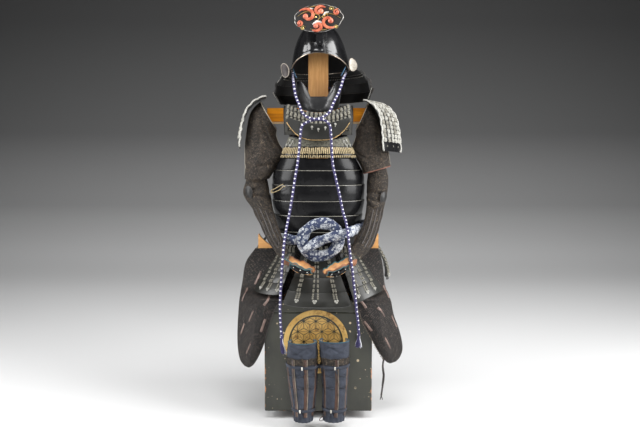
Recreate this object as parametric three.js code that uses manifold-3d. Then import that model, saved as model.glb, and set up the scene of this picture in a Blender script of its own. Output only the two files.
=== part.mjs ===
// A suit of samurai armour (tosei gusoku) set up on its wooden stand and its lacquered armour chest.
// Millimetres, +Z up. The wearer would face -Y, and +X is the side of the wearer's left arm.
// The origin is the middle of the chest's underside, on the floor.
import * as THREE from "three";
import { mergeVertices } from "three/addons/utils/BufferGeometryUtils.js";
import Module from "manifold-3d";

const wasm = await Module();
wasm.setup();

// ---------------------------------------------------------------- driving dimensions
const CHEST = { wide: 410, deep: 380, tall: 430, board: 12, lidTall: 46 };
const GAP = 0.4; // between pieces that touch
const POST = { wide: 78, deep: 24, front: -20, top: 1470 };
const STAND_BASE = { wide: 300, deep: 220, thick: 18 };
const SHOULDER_BAR = { reach: 203, low: 1100, tall: 62, deep: 24 };
const HIP_BOARD = { reach: 241, low: 560, rest: 606, hornLow: 597, hornTop: 662, deep: 24 };
const CLOTH = 3; // quilted hemp with mail on it
const LAME = 2.2; // lacquered iron or rawhide
const STEP = 2.6; // how far a lame stands out over the one above
const LEDGE = 1.2; // height of the edge between two lames

const COLOURS = {
  lacquer: { color: 0x0b0b0c, roughness: 0.25, metalness: 0.1 },
  mail: { color: 0x2a2420, roughness: 0.8, metalness: 0.1 },
  armourCloth: { color: 0x1c1715, roughness: 0.85, metalness: 0 },
  indigo: { color: 0x3a4256, roughness: 0.85, metalness: 0 },
  sash: { color: 0x4c5878, roughness: 0.8, metalness: 0 },
  cord: { color: 0x2c2350, roughness: 0.7, metalness: 0 },
  leather: { color: 0xc98a4e, roughness: 0.5, metalness: 0 },
  wood: { color: 0xb37b3c, roughness: 0.55, metalness: 0 },
  amberWood: { color: 0xb8690f, roughness: 0.35, metalness: 0 },
  chest: { color: 0x23241c, roughness: 0.4, metalness: 0 },
  crest: { color: 0xb5532e, roughness: 0.4, metalness: 0.1 },
};

// ---------------------------------------------------------------- small tools
const rad = THREE.MathUtils.degToRad;
const mix = THREE.MathUtils.lerp;
const at = (x, y, z) => new THREE.Vector3(x, y, z);
const steps = (count) => Array.from({ length: count + 1 }, (_, i) => i / count);

// A column of a table whose rows run by falling z, read at a height between its rows.
function read(table, column, z) {
  const last = table.length - 1;
  if (z >= table[0].z) return table[0][column];
  if (z <= table[last].z) return table[last][column];
  const i = table.findIndex((row) => row.z <= z);
  const share = (table[i - 1].z - z) / (table[i - 1].z - table[i].z);
  return mix(table[i - 1][column], table[i][column], share);
}

// Triangles to a geometry, turned so that the faces point out.
function solid(points, triangles) {
  let volume = 0;
  for (const [a, b, c] of triangles)
    volume += points[a].dot(points[b].clone().cross(points[c]));
  const faces = volume < 0 ? triangles.map(([a, b, c]) => [a, c, b]) : triangles;
  const geometry = new THREE.BufferGeometry();
  geometry.setFromPoints(points);
  geometry.setIndex(faces.flat());
  geometry.computeVertexNormals();
  return geometry;
}

// A wall between an outer and an inner grid of points, rows from top to bottom.
// closed: each row is a ring. pole: the first row runs together in a point.
function wall(outer, inner, { closed = false, pole = false } = {}) {
  const rows = outer.length;
  const across = outer[0].length;
  const points = [...outer.flat(), ...inner.flat()];
  const index = (side, row, column) => (side * rows + row) * across + (column % across);
  const triangles = [];
  const quad = (a, b, c, d) => triangles.push([a, b, c], [a, c, d]);
  const spans = closed ? across : across - 1;
  for (let c = 0; c < spans; c++) {
    for (let r = 0; r + 1 < rows; r++) {
      quad(index(0, r, c), index(0, r + 1, c), index(0, r + 1, c + 1), index(0, r, c + 1));
      quad(index(1, r, c), index(1, r, c + 1), index(1, r + 1, c + 1), index(1, r + 1, c));
    }
    const low = rows - 1;
    quad(index(0, low, c), index(1, low, c), index(1, low, c + 1), index(0, low, c + 1));
    if (pole) {
      const top = points.length;
      triangles.push([top, index(0, 0, c), index(0, 0, c + 1)]);
      triangles.push([top + 1, index(1, 0, c + 1), index(1, 0, c)]);
    } else {
      quad(index(0, 0, c + 1), index(1, 0, c + 1), index(1, 0, c), index(0, 0, c));
    }
  }
  if (pole)
    for (const grid of [outer, inner])
      points.push(grid[0].reduce((sum, p) => sum.add(p), at(0, 0, 0)).divideScalar(across));
  if (!closed)
    for (let r = 0; r + 1 < rows; r++) {
      const end = across - 1;
      quad(index(0, r, 0), index(1, r, 0), index(1, r + 1, 0), index(0, r + 1, 0));
      quad(index(0, r + 1, end), index(1, r + 1, end), index(1, r, end), index(0, r, end));
    }
  return solid(points, triangles);
}

// A wall from a rule: place(down, across, out) gives the point at those shares, moved out.
function sheet(rows, across, thick, place, options) {
  const grid = (out) => steps(rows).map((v) => across.map((u) => place(v, u, out)));
  return wall(grid(0), grid(-thick), options);
}

// A wall of lames, each one standing out over the one above it.
function lamed(lames, across, thick, span, place) {
  const rows = [];
  for (let i = 0; i < lames; i++) {
    rows.push({ down: i === 0 ? 0 : i / lames + LEDGE / span, out: i === 0 ? 0 : STEP });
    rows.push({ down: (i + 1) / lames, out: 0 });
  }
  const grid = (inside) =>
    rows.map(({ down, out }) => across.map((u) => place(down, u, inside ? -thick : out)));
  return wall(grid(false), grid(true));
}

// A solid rope with an oval section along a smooth curve. face(point) is the way its flat side looks.
function rope(route, { wide, deep, sides = 10, length = 24, closed = false, face }) {
  const curve = new THREE.CatmullRomCurve3(route, closed, "centripetal");
  const count = Math.max(6, Math.round(curve.getLength() / length));
  const points = [];
  const rings = closed ? count : count + 1;
  for (let i = 0; i < rings; i++) {
    const middle = curve.getPointAt(i / count);
    const along = curve.getTangentAt(i / count);
    const side = along.clone().cross(face(middle)).normalize();
    const out = side.clone().cross(along).normalize();
    for (let k = 0; k < sides; k++) {
      const turn = (k / sides) * 2 * Math.PI;
      points.push(
        middle.clone()
          .addScaledVector(side, Math.cos(turn) * wide / 2)
          .addScaledVector(out, Math.sin(turn) * deep / 2),
      );
    }
  }
  const triangles = [];
  const index = (ring, k) => (ring % rings) * sides + (k % sides);
  const joints = closed ? rings : rings - 1;
  for (let i = 0; i < joints; i++)
    for (let k = 0; k < sides; k++) {
      triangles.push([index(i, k), index(i + 1, k), index(i + 1, k + 1)]);
      triangles.push([index(i, k), index(i + 1, k + 1), index(i, k + 1)]);
    }
  if (!closed)
    for (let k = 1; k + 1 < sides; k++) {
      triangles.push([index(0, 0), index(0, k), index(0, k + 1)]);
      triangles.push([index(rings - 1, 0), index(rings - 1, k + 1), index(rings - 1, k)]);
    }
  return solid(points, triangles);
}

const toManifold = (geometry) => {
  const bare = new THREE.BufferGeometry();
  bare.setAttribute("position", geometry.getAttribute("position"));
  bare.setIndex(geometry.index);
  const merged = mergeVertices(bare, 1e-3);
  return new wasm.Manifold(new wasm.Mesh({
    numProp: 3,
    vertProperties: new Float32Array(merged.attributes.position.array),
    triVerts: new Uint32Array(merged.index.array),
  }));
};

// One geometry with others cut out of it.
function cut(body, ...tools) {
  const mesh = tools
    .reduce((left, tool) => left.subtract(toManifold(tool)), toManifold(body))
    .getMesh();
  const geometry = new THREE.BufferGeometry();
  geometry.setAttribute("position", new THREE.BufferAttribute(mesh.vertProperties, 3));
  geometry.setIndex(new THREE.BufferAttribute(mesh.triVerts, 1));
  return geometry;
}

const block = (wide, deep, tall, x, y, low) =>
  new THREE.BoxGeometry(wide, deep, tall).translate(x, y, low + tall / 2);

const armour = new THREE.Group();
armour.name = "samurai_armour";

function add(name, finish, geometry, parent = armour) {
  const mesh = new THREE.Mesh(geometry, new THREE.MeshStandardMaterial(COLOURS[finish]));
  mesh.name = name;
  parent.add(mesh);
  return mesh;
}

// ---------------------------------------------------------------- armour chest
function chest() {
  const { wide, deep, tall, board, lidTall } = CHEST;
  const bodyTall = tall - lidTall - GAP;
  const hollow = block(wide - 2 * board, deep - 2 * board, tall, 0, 0, board);
  add("chest_body", "chest", cut(block(wide, deep, bodyTall, 0, 0, 0), hollow));
  const lidLow = tall - lidTall;
  const underside = block(wide - 2 * board, deep - 2 * board, lidTall, 0, 0, lidLow - board);
  add("chest_lid", "chest", cut(block(wide, deep, lidTall, 0, 0, lidLow), underside));
}

// ---------------------------------------------------------------- wooden stand
function stand() {
  const { wide, deep, front, top } = POST;
  const postY = front + deep / 2;
  const baseLow = CHEST.tall + GAP;
  const postLow = baseLow + STAND_BASE.thick + GAP;
  add("stand_base", "wood", block(STAND_BASE.wide, STAND_BASE.deep, STAND_BASE.thick, 0, 0, baseLow));
  add("stand_post", "wood", block(wide, deep, top - postLow, 0, postY, postLow));

  const behind = front + deep + GAP;
  const bar = SHOULDER_BAR;
  const barY = behind + bar.deep / 2;
  add("stand_shoulder_bar", "amberWood", block(2 * bar.reach, bar.deep, bar.tall, 0, barY, bar.low));

  const hip = HIP_BOARD;
  const shape = new THREE.Shape();
  const flat = 158; // half the width of the straight middle that the cuirass rests on
  shape.moveTo(-flat, hip.low);
  shape.lineTo(flat, hip.low);
  shape.lineTo(hip.reach, hip.hornLow);
  shape.lineTo(hip.reach, hip.hornTop);
  shape.quadraticCurveTo(flat + 40, hip.rest, flat, hip.rest);
  shape.lineTo(-flat, hip.rest);
  shape.quadraticCurveTo(-flat - 40, hip.rest, -hip.reach, hip.hornTop);
  shape.lineTo(-hip.reach, hip.hornLow);
  shape.closePath();
  const hipBoard = new THREE.ExtrudeGeometry(shape, {
    depth: hip.deep, bevelEnabled: false, curveSegments: 5,
  });
  hipBoard.rotateX(Math.PI / 2).translate(0, behind + hip.deep, 0);
  add("stand_hip_board", "wood", hipBoard);
}

// ---------------------------------------------------------------- cuirass
// Half width and half depth of the cuirass by height, and how square its section is.
const TORSO = [
  { z: 1090, wide: 132, deep: 104 },
  { z: 1045, wide: 146, deep: 120 },
  { z: 966, wide: 164, deep: 133 },
  { z: 900, wide: 184, deep: 139 },
  { z: 800, wide: 185, deep: 140 },
  { z: 700, wide: 170, deep: 133 },
  { z: 612, wide: 154, deep: 125 },
];
const SQUARE = 0.86; // 1 is an ellipse, less is squarer

// A point on an oval ring: angle 0 is the front, 90 the +X side.
function ring(angle, wide, deep, z, middleY = 0, square = SQUARE) {
  const s = Math.sin(rad(angle));
  const c = Math.cos(rad(angle));
  return at(
    wide * Math.sign(s) * Math.abs(s) ** square,
    middleY - deep * Math.sign(c) * Math.abs(c) ** square,
    z,
  );
}
const torsoPoint = (angle, z, out) =>
  ring(angle, read(TORSO, "wide", z) + out, read(TORSO, "deep", z) + out, z);

// Half the angle that the upper plates reach from the middle, by height: the armholes.
const ARMHOLE = [
  { z: 1090, front: 38, back: 44 },
  { z: 1045, front: 50, back: 54 },
  { z: 1003, front: 56, back: 58 },
  { z: 966, front: 61, back: 62 },
  { z: 918, front: 76, back: 78 },
  { z: 880, front: 88.8, back: 88.8 },
];

function cuirass() {
  const halves = [
    { side: "front", middle: 0, top: 1052, bars: 6 },
    { side: "back", middle: 180, top: 1082, bars: 6 },
  ];
  const rowTop = 1003;
  const shellTop = 966;
  const low = TORSO[TORSO.length - 1].z;
  const across = steps(12).map((u) => 2 * u - 1);
  for (const { side, middle, top, bars } of halves) {
    const plate = (high, base, out) => (v, u, o) => {
      const neck = v === 0 ? 14 * (1 - u * u) : 0; // the neckline dips in the middle
      const z = mix(high, base, v) - neck;
      return torsoPoint(middle + u * read(ARMHOLE, side, z), z, out + o);
    };
    add(`cuirass_${side}_top_plate`, "lacquer", sheet(3, across, LAME, plate(top, rowTop, -1)));
    add(`cuirass_${side}_laced_row`, "lacquer",
      sheet(2, across, LAME, plate(rowTop + 8, shellTop + 3, LAME + 1)));
    const tall = shellTop - low;
    const shell = (v, u, out) => {
      const z = mix(shellTop, low, v);
      return torsoPoint(middle + u * read(ARMHOLE, side, z), z, out - 3);
    };
    add(`cuirass_${side}_shell`, "lacquer", lamed(bars, across, LAME, tall, shell));
  }
  for (const hand of [-1, 1]) shoulderStrap(hand);
}

// The strap that carries the cuirass over the stand's shoulder bar.
function shoulderStrap(hand) {
  const route = [
    { y: -88, z: 1056 },
    { y: -76, z: 1104 },
    { y: -46, z: 1146 },
    { y: -8, z: 1168 },
    { y: 40, z: 1167 },
    { y: 66, z: 1132 },
    { y: 72, z: 1087 },
  ];
  const middle = 110;
  const wide = 48;
  const curve = new THREE.CatmullRomCurve3(route.map(({ y, z }) => at(0, y, z)));
  const place = (v, u, out) => {
    const point = curve.getPoint(v);
    const along = curve.getTangent(v);
    const normal = at(0, -along.z, along.y);
    const narrow = mix(0.8, 1, Math.sin(Math.PI * v)); // it is widest on the shoulder
    return point
      .addScaledVector(normal, out)
      .add(at(hand * (middle + u * wide * narrow), 0, 0));
  };
  add(`shoulder_strap_${sideName(hand)}`, "lacquer",
    sheet(10, [-0.5, 0, 0.5], LAME * 2, place));
}

const sideName = (hand) => (hand < 0 ? "right" : "left"); // the wearer's own side

// ---------------------------------------------------------------- tassets
// The skirt's half width and half depth, from where it hangs to its hem.
const SKIRT = { top: 611.4, wide: [154, 262], deep: [125, 236], square: 0.7 };
// The angles that a tasset spans at its hem, and the height of its hem at each end.
const TASSETS = [
  { name: "front", from: -23, to: 21, hem: [421, 414], sag: 8 },
  { name: "front_right", from: -72, to: -26, hem: [456, 455], sag: 2 },
  { name: "front_left", from: 23.5, to: 70, hem: [420, 454], sag: -10 },
  { name: "rear_right", from: 184, to: 226, hem: [440, 452], sag: 3 },
  { name: "rear_left", from: 134, to: 176, hem: [452, 440], sag: 3 },
];

function tassets() {
  const lames = 4;
  for (const { name, from, to, hem, sag } of TASSETS) {
    const middle = (from + to) / 2;
    const place = (v, u, out) => {
      const angle = middle + (u - 0.5) * (to - from) * mix(0.84, 1, v);
      const low = mix(...hem, u) - 4 * sag * u * (1 - u);
      const z = mix(SKIRT.top, low, v);
      const wide = mix(...SKIRT.wide, v) + out;
      const deep = mix(...SKIRT.deep, v) + out;
      return ring(angle, wide, deep, z, 0, mix(SQUARE, SKIRT.square, v));
    };
    add(`tasset_${name}`, "lacquer", lamed(lames, steps(6), LAME, SKIRT.top - hem[0], place));
  }
  for (const hand of [-1, 1]) sideTasset(hand);
}

// A side tasset is pushed up by the horn of the hip board and lies behind it.
function sideTasset(hand) {
  const rows = [
    { z: 645, x: 216, y: 66 },
    { z: 600, x: 250, y: 72 },
    { z: 548, x: 278, y: 78 },
    { z: 505, x: 289, y: 82 },
    { z: 468, x: 291, y: 86 },
  ];
  const reach = 46; // from its middle to its front edge
  const place = (v, u, out) => {
    const z = mix(rows[0].z, rows[4].z, v);
    const swing = rad(24 + 12 * v);
    const across = (u - 0.5) * 2 * reach * mix(0.72, 1, v);
    const x = read(rows, "x", z) - Math.cos(swing) * 0.35 * Math.abs(across) + out;
    return at(hand * x, read(rows, "y", z) + across, z);
  };
  add(`tasset_side_${sideName(hand)}`, "lacquer", lamed(4, steps(4), LAME, 177, place));
}

// ---------------------------------------------------------------- helmet
// The bowl's half width by height. It is longer than wide.
const BOWL = [
  { z: 1488, wide: 9 },
  { z: 1482, wide: 34 },
  { z: 1470, wide: 55 },
  { z: 1453, wide: 71 },
  { z: 1430, wide: 84 },
  { z: 1400, wide: 96 },
  { z: 1370, wide: 104 },
  { z: 1340, wide: 110 },
  { z: 1300, wide: 114 },
];
const BOWL_LONG = 1.12;
const BOWL_THICK = 2.6;
const BROW = { low: 1304, rise: 62, half: 92 }; // the arch over the face, and its half angle

function rimHeight(angle) {
  const turn = ((angle + 540) % 360) - 180;
  if (Math.abs(turn) >= BROW.half) return BROW.low;
  return BROW.low + BROW.rise * Math.cos((Math.PI / 2) * (turn / BROW.half)) ** 1.2;
}

// The helmet sits a little turned and tilted on the post, about this point.
const HEAD = { x: 6, z: 1370, tilt: -2.2, turn: -6.5 };

function helmet() {
  const head = new THREE.Group();
  head.name = "helmet";
  head.position.set(HEAD.x, 0, HEAD.z);
  head.rotation.set(0, rad(HEAD.tilt), rad(HEAD.turn));
  armour.add(head);

  const around = steps(24).slice(0, -1).map((u) => u * 360);
  const heights = [0, 0.035, 0.1, 0.2, 0.34, 0.52, 0.74, 1];
  const bowlGrid = (out) => heights.map((share) => around.map((angle) => {
    const z = mix(BOWL[0].z, rimHeight(angle), share);
    const wide = read(BOWL, "wide", z) + out;
    return ringRound(angle, wide, wide * BOWL_LONG, z + out * (1 - share) * 0.9);
  }));
  const bowl = wall(bowlGrid(0), bowlGrid(-BOWL_THICK), { closed: true, pole: true });
  add("helmet_bowl", "lacquer", bowl.translate(0, 0, -HEAD.z), head);

  neckGuard(head);
  for (const hand of [-1, 1]) turnback(head, hand);
  frontCrest(head);
}

// A plain oval ring, used round the head.
const ringRound = (angle, wide, deep, z, middleY = 0) =>
  at(wide * Math.sin(rad(angle)), middleY - deep * Math.cos(rad(angle)), z);

// The neck guard spreads from the bowl's rim and then falls: rows are the edges of its lames.
const NECK_EDGES = [
  { z: 1318, wide: 117, long: 131, from: 84 },
  { z: 1292, wide: 155, long: 162, from: 76 },
  { z: 1258, wide: 180, long: 182, from: 73 },
  { z: 1220, wide: 186, long: 188, from: 74 },
  { z: 1180, wide: 165, long: 175, from: 82 },
];
const NECK_X = 9; // the neck guard's middle lies off the bowl's
const NECK_LAP = 7; // how far a lame rises outside the one above

function neckGuard(head) {
  const across = steps(18);
  for (let i = 0; i + 1 < NECK_EDGES.length; i++) {
    const [high, low] = [NECK_EDGES[i], NECK_EDGES[i + 1]];
    const lap = i === 0 ? 0 : NECK_LAP;
    const stand = i * (LAME + 0.9);
    const place = (v, u, out) => {
      const share = v - (v === 0 ? lap / (high.z - low.z) : 0);
      const from = mix(high.from, low.from, v);
      const wide = mix(high.wide, low.wide, share) + stand + out;
      const deep = mix(high.long, low.long, share) + stand + out;
      const z = mix(high.z, low.z, share) + stand * 0.35 + out * 0.3 - HEAD.z;
      const p = ringRound(from + u * (360 - 2 * from), wide, deep, z, 2);
      return p.add(at(i === 0 && v < 0.5 ? 0 : NECK_X, 0, 0));
    };
    add(`neck_guard_lame_${i + 1}`, "lacquer", sheet(i === 0 ? 2 : 1, across, LAME, place), head);
  }
}

// The small turned-back ear at each end of the neck guard's first lame.
const EARS = {
  right: { x: -132, y: -50, z: 1310, wide: 23, tall: 27, lean: 14 },
  left: { x: 129, y: -36, z: 1320, wide: 20, tall: 24, lean: 8 },
};

function turnback(head, hand) {
  const { x, y, z, wide, tall, lean } = EARS[sideName(hand)];
  const outline = new THREE.Shape();
  outline.absellipse(0, 0, wide, tall, 0, 2 * Math.PI, false, rad(lean));
  const ear = new THREE.ExtrudeGeometry(outline, { depth: 3, bevelEnabled: false, curveSegments: 9 });
  ear.rotateX(Math.PI / 2);
  const mesh = add(`turnback_${sideName(hand)}`, "leather", ear, head);
  mesh.position.set(x, y, z - HEAD.z);
  mesh.rotation.set(0, 0, hand * rad(30));
}

// The forecrest: a lobed oval plate on a short stay in front of the bowl.
const CREST = { wide: 188, tall: 103, thick: 7, lobes: 9, y: -134, middle: 1489, x: 16 };

function frontCrest(head) {
  const outline = new THREE.Shape(
    steps(45).slice(0, -1).map((u) => {
      const turn = u * 2 * Math.PI;
      const size = 1 - 0.045 * (1 - Math.abs(Math.cos((CREST.lobes * turn) / 2)));
      return new THREE.Vector2(
        (CREST.wide / 2) * Math.cos(turn) * size,
        (CREST.tall / 2) * Math.sin(turn) * size,
      );
    }),
  );
  const plate = new THREE.ExtrudeGeometry(outline, { depth: CREST.thick, bevelEnabled: false });
  plate.rotateX(Math.PI / 2).translate(CREST.x, CREST.y, CREST.middle - HEAD.z);
  add("crest_plate", "crest", plate, head);
  const stay = block(26, 22, 78, CREST.x, CREST.y + 11.6, 1391 - HEAD.z);
  add("crest_stay", "lacquer", stay, head);
}

// ---------------------------------------------------------------- mask and throat guard
const MASK = { wide: 88, deep: 82, middleY: -30, middleX: 2, low: 1142, lip: 1199, cheek: 1260 };

function mask() {
  const reach = 82;
  const place = (v, u, out) => {
    const turn = mix(-reach, reach, u);
    const side = Math.min(1, Math.max(0, (Math.abs(turn) - 22) / 36)); // level across the post
    const top = mix(MASK.lip, MASK.cheek, side * (2 - side));
    const z = mix(top, MASK.low + 12 * side, v);
    const chin = 6 * Math.exp(-(((z - 1160) / 16) ** 2)) * Math.exp(-((turn / 26) ** 2));
    const tuck = 1 - 0.16 * v * v; // it draws in below the chin
    const p = ringRound(turn, MASK.wide * tuck + out, MASK.deep * tuck + out + chin, z, MASK.middleY);
    return p.add(at(MASK.middleX, 0, 0));
  };
  add("face_mask", "lacquer", sheet(5, steps(16), LAME, place));

  // The tie goes from cheek to cheek round the back of the post.
  const tie = [
    at(-79, -42, 1226), at(-66, -10, 1236), at(-44, 7, 1240), at(0, 10, 1241),
    at(44, 7, 1240), at(66, -10, 1236), at(82, -42, 1226),
  ];
  add("mask_tie", "cord", rope(tie, { wide: 8, deep: 3, sides: 6, length: 18, face: outFromWaist }));
}

// Each lame of the throat guard is a shallow bib that dips in the middle.
const THROAT = [
  { wide: 122, frontY: -105, endY: -60, topMiddle: 1139, topEnd: 1176, lowMiddle: 1119, lowEnd: 1150 },
  { wide: 124, frontY: -117, endY: -88, topMiddle: 1121, topEnd: 1152, lowMiddle: 1095, lowEnd: 1124 },
  { wide: 117, frontY: -130, endY: -112, topMiddle: 1098, topEnd: 1124, lowMiddle: 1034, lowEnd: 1102 },
];

function throatGuard() {
  THROAT.forEach((lame, i) => {
    const place = (v, u, out) => {
      const side = 2 * u - 1;
      const bend = side * side;
      const top = mix(lame.topMiddle, lame.topEnd, bend);
      const low = mix(lame.lowMiddle, lame.lowEnd, bend * Math.abs(side));
      const y = mix(lame.frontY, lame.endY, bend) - out - 6 * v;
      return at(side * (lame.wide + 3 * v) + out * side * 0.6, y, mix(top, low, v));
    };
    add(`throat_lame_${i + 1}`, "lacquer", sheet(i === 2 ? 2 : 1, steps(12), LAME, place));
  });
}

// ---------------------------------------------------------------- armoured sleeves
// Each row is a ring of the sleeve: its point nearest the body, its point furthest out,
// how far forward its middle is, and its half depth from front to back.
const SLEEVES = {
  right_upper: {
    hand: -1, folds: 5, deepFolds: 0.06,
    rings: [
      { inX: 166, inZ: 1076, outX: 230, outZ: 1188, y: 16, deep: 56 },
      { inX: 168, inZ: 1056, outX: 266, outZ: 1144, y: 6, deep: 56 },
      { inX: 156, inZ: 1024, outX: 282, outZ: 1078, y: -8, deep: 52 },
      { inX: 138, inZ: 986, outX: 288, outZ: 1010, y: -26, deep: 47 },
      { inX: 163, inZ: 932, outX: 288, outZ: 942, y: -32, deep: 44 },
      { inX: 192, inZ: 886, outX: 289, outZ: 884, y: -34, deep: 42 },
    ],
  },
  left_upper: {
    hand: 1, folds: 5, deepFolds: 0.06,
    rings: [
      { inX: 150, inZ: 1076, outX: 200, outZ: 1186, y: 16, deep: 56 },
      { inX: 150, inZ: 1054, outX: 232, outZ: 1142, y: 6, deep: 56 },
      { inX: 138, inZ: 1020, outX: 258, outZ: 1074, y: -10, deep: 54 },
      { inX: 130, inZ: 990, outX: 271, outZ: 1012, y: -30, deep: 50 },
      { inX: 161, inZ: 944, outX: 277, outZ: 966, y: -50, deep: 47 },
      { inX: 175, inZ: 906, outX: 281, outZ: 936, y: -60, deep: 48 },
    ],
  },
  right_lower: {
    hand: -1, folds: 3, deepFolds: 0.03,
    rings: [
      { inX: 206, inZ: 912, outX: 280, outZ: 912, y: -34, deep: 32 },
      { inX: 202, inZ: 884, outX: 284, outZ: 880, y: -34, deep: 34 },
      { inX: 190, inZ: 832, outX: 294, outZ: 826, y: -38, deep: 38 },
      { inX: 181, inZ: 786, outX: 262, outZ: 772, y: -56, deep: 35 },
      { inX: 165, inZ: 736, outX: 228, outZ: 718, y: -98, deep: 31 },
      { inX: 148, inZ: 690, outX: 202, outZ: 668, y: -134, deep: 27 },
      { inX: 130, inZ: 650, outX: 172, outZ: 624, y: -160, deep: 23 },
      { inX: 113, inZ: 616, outX: 148, outZ: 592, y: -180, deep: 20 },
    ],
  },
  left_lower: {
    hand: 1, folds: 3, deepFolds: 0.03,
    rings: [
      { inX: 199, inZ: 944, outX: 258, outZ: 956, y: -57, deep: 32 },
      { inX: 192, inZ: 888, outX: 273, outZ: 888, y: -52, deep: 36 },
      { inX: 189, inZ: 836, outX: 268, outZ: 828, y: -54, deep: 35 },
      { inX: 187, inZ: 786, outX: 258, outZ: 776, y: -68, deep: 33 },
      { inX: 180, inZ: 736, outX: 243, outZ: 724, y: -90, deep: 31 },
      { inX: 163, inZ: 690, outX: 226, outZ: 674, y: -124, deep: 29 },
      { inX: 139, inZ: 652, outX: 205, outZ: 630, y: -154, deep: 27 },
      { inX: 113, inZ: 620, outX: 166, outZ: 592, y: -180, deep: 24 },
    ],
  },
};

function sleeves() {
  const around = steps(16).slice(0, -1).map((u) => u * 2 * Math.PI);
  for (const [name, { hand, folds, deepFolds, rings }] of Object.entries(SLEEVES)) {
    const grid = (out) => rings.map((row, i) => {
      const middle = at((row.inX + row.outX) / 2, row.y, (row.inZ + row.outZ) / 2);
      const side = at((row.outX - row.inX) / 2, 0, (row.outZ - row.inZ) / 2);
      const half = side.length();
      const opened = i / (rings.length - 1); // the folds deepen towards the hem
      return around.map((turn) => {
        const fold = 1 + deepFolds * opened * Math.cos(folds * turn + 0.9);
        const p = middle.clone()
          .addScaledVector(side, Math.cos(turn) * (1 + out / half))
          .add(at(0, -Math.sin(turn) * (row.deep * fold + out), 0));
        return at(hand * p.x, p.y, p.z);
      });
    });
    add(`sleeve_${name}`, "mail", wall(grid(0), grid(-CLOTH), { closed: true }));
  }
  for (const hand of [-1, 1]) handGuard(hand);
}

// A cupped guard for the back of the hand, lined with leather and open upwards.
const HAND_GUARDS = {
  right: { wrist: [-122, -205, 594], tip: [-16, -252, 556], wide: 34, cup: 24 },
  left: { wrist: [128, -207, 590], tip: [24, -256, 550], wide: 36, cup: 26 },
};

function handGuard(hand) {
  const { wrist, tip, wide, cup } = HAND_GUARDS[sideName(hand)];
  const start = at(...wrist);
  const end = at(...tip);
  const along = end.clone().sub(start);
  const side = along.clone().cross(at(0, 0, 1)).normalize().multiplyScalar(hand);
  const place = (v, u, out) => {
    const turn = rad(mix(-100, 100, u));
    const taper = Math.sqrt(Math.max(0.12, 1 - (Math.max(0, v - 0.45) / 0.6) ** 2));
    return start.clone()
      .addScaledVector(along, v)
      .addScaledVector(side, Math.sin(turn) * (wide * taper + out))
      .add(at(0, 0, -Math.cos(turn) * (cup * taper + out)));
  };
  add(`hand_guard_${sideName(hand)}`, "leather", sheet(5, steps(8), LAME, place));
}

// ---------------------------------------------------------------- shoulder guards
// The guard's section across the shoulder, from the neck side outwards and down.
const GUARD_PROFILE = [
  { out: 0, up: 0 },
  { out: 40, up: -17 },
  { out: 72, up: -50 },
  { out: 88, up: -96 },
  { out: 97, up: -144 },
  { out: 102, up: -196 },
];
const GUARDS = {
  right: { x: 209, y: 16, z: 1201, turn: 6, tilt: 4 },
  left: { x: 210, y: 8, z: 1186, turn: 36, tilt: 4 },
};

function shoulderGuards() {
  const curve = new THREE.CatmullRomCurve3(GUARD_PROFILE.map(({ out, up }) => at(out, 0, up)));
  const reach = 68; // half its length from front to back
  for (const hand of [-1, 1]) {
    const { x, y, z, turn, tilt } = GUARDS[sideName(hand)];
    const place = (v, u, out) => {
      const p = curve.getPointAt(v);
      const along = curve.getTangentAt(v);
      const bow = 8 * (1 - (2 * u - 1) ** 2) * v; // it bows out between its edges
      p.addScaledVector(at(-along.z, 0, along.x), out + bow);
      return at(hand * p.x, (u - 0.5) * 2 * reach * mix(0.86, 1, v), p.z);
    };
    const guard = add(`shoulder_guard_${sideName(hand)}`, "lacquer",
      lamed(7, steps(6), LAME, curve.getLength(), place));
    guard.position.set(hand * x, y, z);
    guard.rotation.set(rad(-tilt), 0, -hand * rad(turn), "ZXY");
  }
}

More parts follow.
